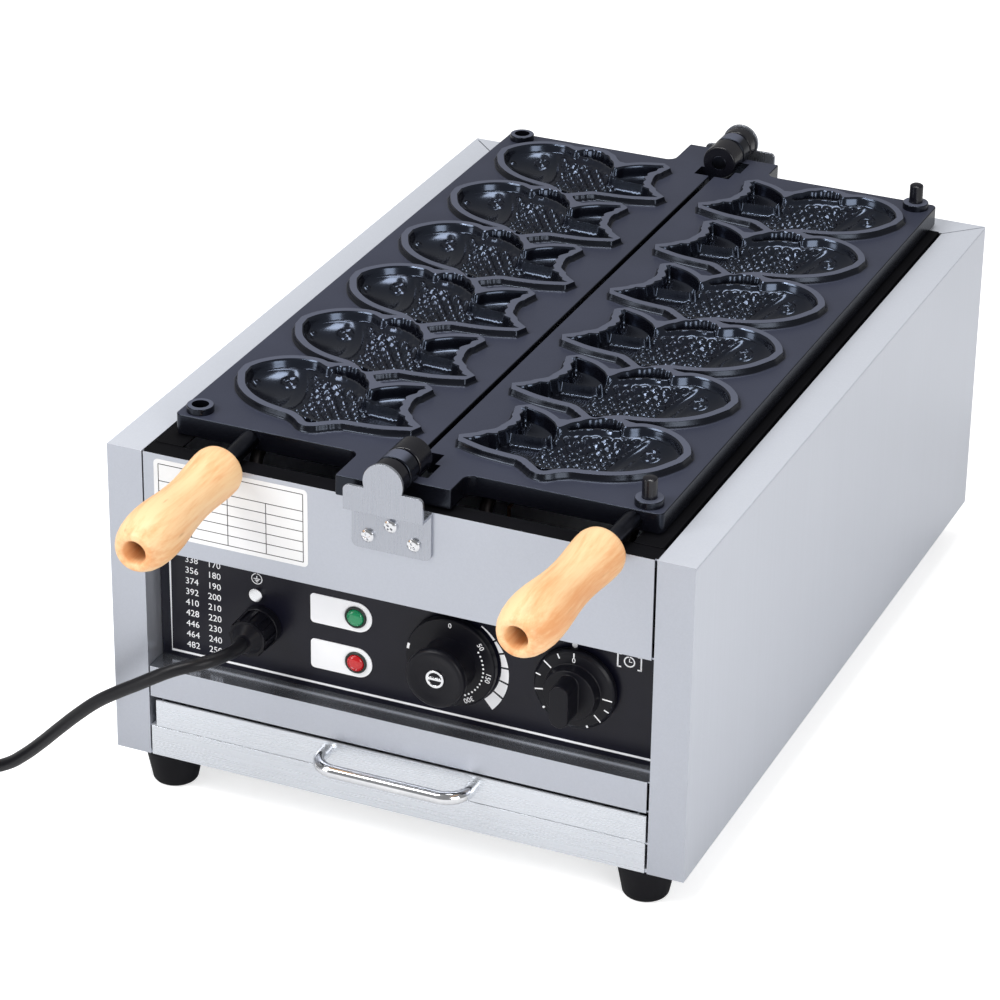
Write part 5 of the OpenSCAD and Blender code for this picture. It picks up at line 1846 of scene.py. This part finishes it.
@dataclass
class Handles(Assembly):
    """Steel rods with turned wooden grips."""

    bare: float = 36.8
    length: float = 106.0
    bore: float = 5.6
    hole: float = 7.0
    hole_depth: float = 24.0
    profile: tuple[tuple[float, float], ...] = (
        (11.6, 0), (13.6, 0.6), (15.0, 2.2), (15.7, 5), (15.8, 9), (15.6, 14), (15.1, 21),
        (14.5, 29), (14.2, 38), (14.4, 47), (15.1, 56), (16.1, 64), (17.0, 72), (17.4, 79),
        (17.3, 86), (16.5, 93), (15.2, 98.5), (13.4, 102.6), (11.8, 105), (10.6, 106),
    )  # fmt: skip

    def build(self) -> None:
        """Turns both grips and dresses their rods and nuts."""
        for side, body in ((Side.LEFT, Body.LEFT_PLATE), (Side.RIGHT, Body.RIGHT_PLATE)):
            word = side.name.lower()
            self.seat(self.grip(side, word), body, "grip_wood", "wood", f"{word}_grip")
            self.refine(f"{word}_handle_rod", body, "chrome", "dark_steel", 0.3)
            self.refine(f"{word}_grip_nut", body, "zinc_plate", "zinc", 0.3)

    def grip(self, side: Side, word: str) -> Piece:
        """Turns one grip with its bore, its hole and the bevel round the hole."""
        out = [(self.bore, 0), *self.profile, (8.4, 106), (7.4, 105.2), (self.hole, 104)]
        deep = self.length - self.hole_depth
        out += [(self.hole, deep), (self.bore, deep), (self.bore, 0)]
        stand = HandleFrame(side).matrix() @ Matrix.Translation((0, 0, self.bare * MM))
        return smoothed(turned(f"{word}_grip_look", out, stand, 96), 50)


@dataclass
class Hinge(Assembly):
    """Sheet brackets, pins and screws of the common hinge."""

    screws: tuple[tuple[float, float, float], ...] = (
        (-14.5, 183.0, 20), (0.0, 192.0, 50), (14.5, 183.0, 35),
    )  # fmt: skip
    head_y: float = -4.5
    cross: tuple[float, float, float] = (4.6, 1.2, 1.8)

    def build(self) -> None:
        """Softens the brackets and pins and cuts the crosses of the screws."""
        for node in ("front_hinge_bracket", "rear_hinge_bracket"):
            self.refine(node, Body.CASING, "bracket_steel", "bracket", 0.45)
        self.refine("hinge_pins", Body.CASING, "zinc_plate", "dark_steel", 0.5)
        screws = softened("bracket_screws", 0.15, cutters=self.crosses())
        self.seat(screws, Body.CASING, "chrome", "chrome", "bracket_screws")

    def crosses(self) -> list[Piece]:
        """Shapes the crosses that are cut into the screw heads."""
        bars = []
        for x, z, lean in self.screws:
            for turn in (lean, lean + 90):
                bpy.ops.mesh.primitive_cube_add(size=1, scale=Vector(self.cross) * MM)
                bar = bpy.context.object
                bar.matrix_world = (
                    on_panel(x, z, self.head_y)
                    @ Matrix.Rotation(math.radians(turn), 4, "Z")
                    @ Matrix.Diagonal((*bar.scale, 1))
                )
                bars.append(settled(bar, "cross"))
        return bars


@dataclass
class Drawer(Assembly):
    """Drip tray with its front, bow handle and screws."""

    def build(self) -> None:
        """Softens the drawer's pieces."""
        parts = {
            "drip_tray": ("stainless", "steel", 0.3),
            "drawer_front": ("stainless", "front", 0.4),
            "drawer_handle": ("chrome", "chrome", 0.05),
            "drawer_screws": ("zinc_plate", "zinc", 0.2),
        }
        for node, (slot, finish, width) in parts.items():
            self.refine(node, Body.DRAWER, slot, finish, width)


def main() -> None:
    """Builds the scene in order."""
    logging.basicConfig(level=logging.INFO, format="%(relativeCreated)d %(message)s")
    PhotoCamera().build()
    palette = Palette()
    MainsCord(palette).build()
    Studio().build()
    controls = (Panel, Thermostat, Timer)
    for group in (Casing, DataLabel, *controls, MouldPlates, Handles, Hinge, Drawer):
        group(palette).build()


if __name__ == "__main__":
    main()
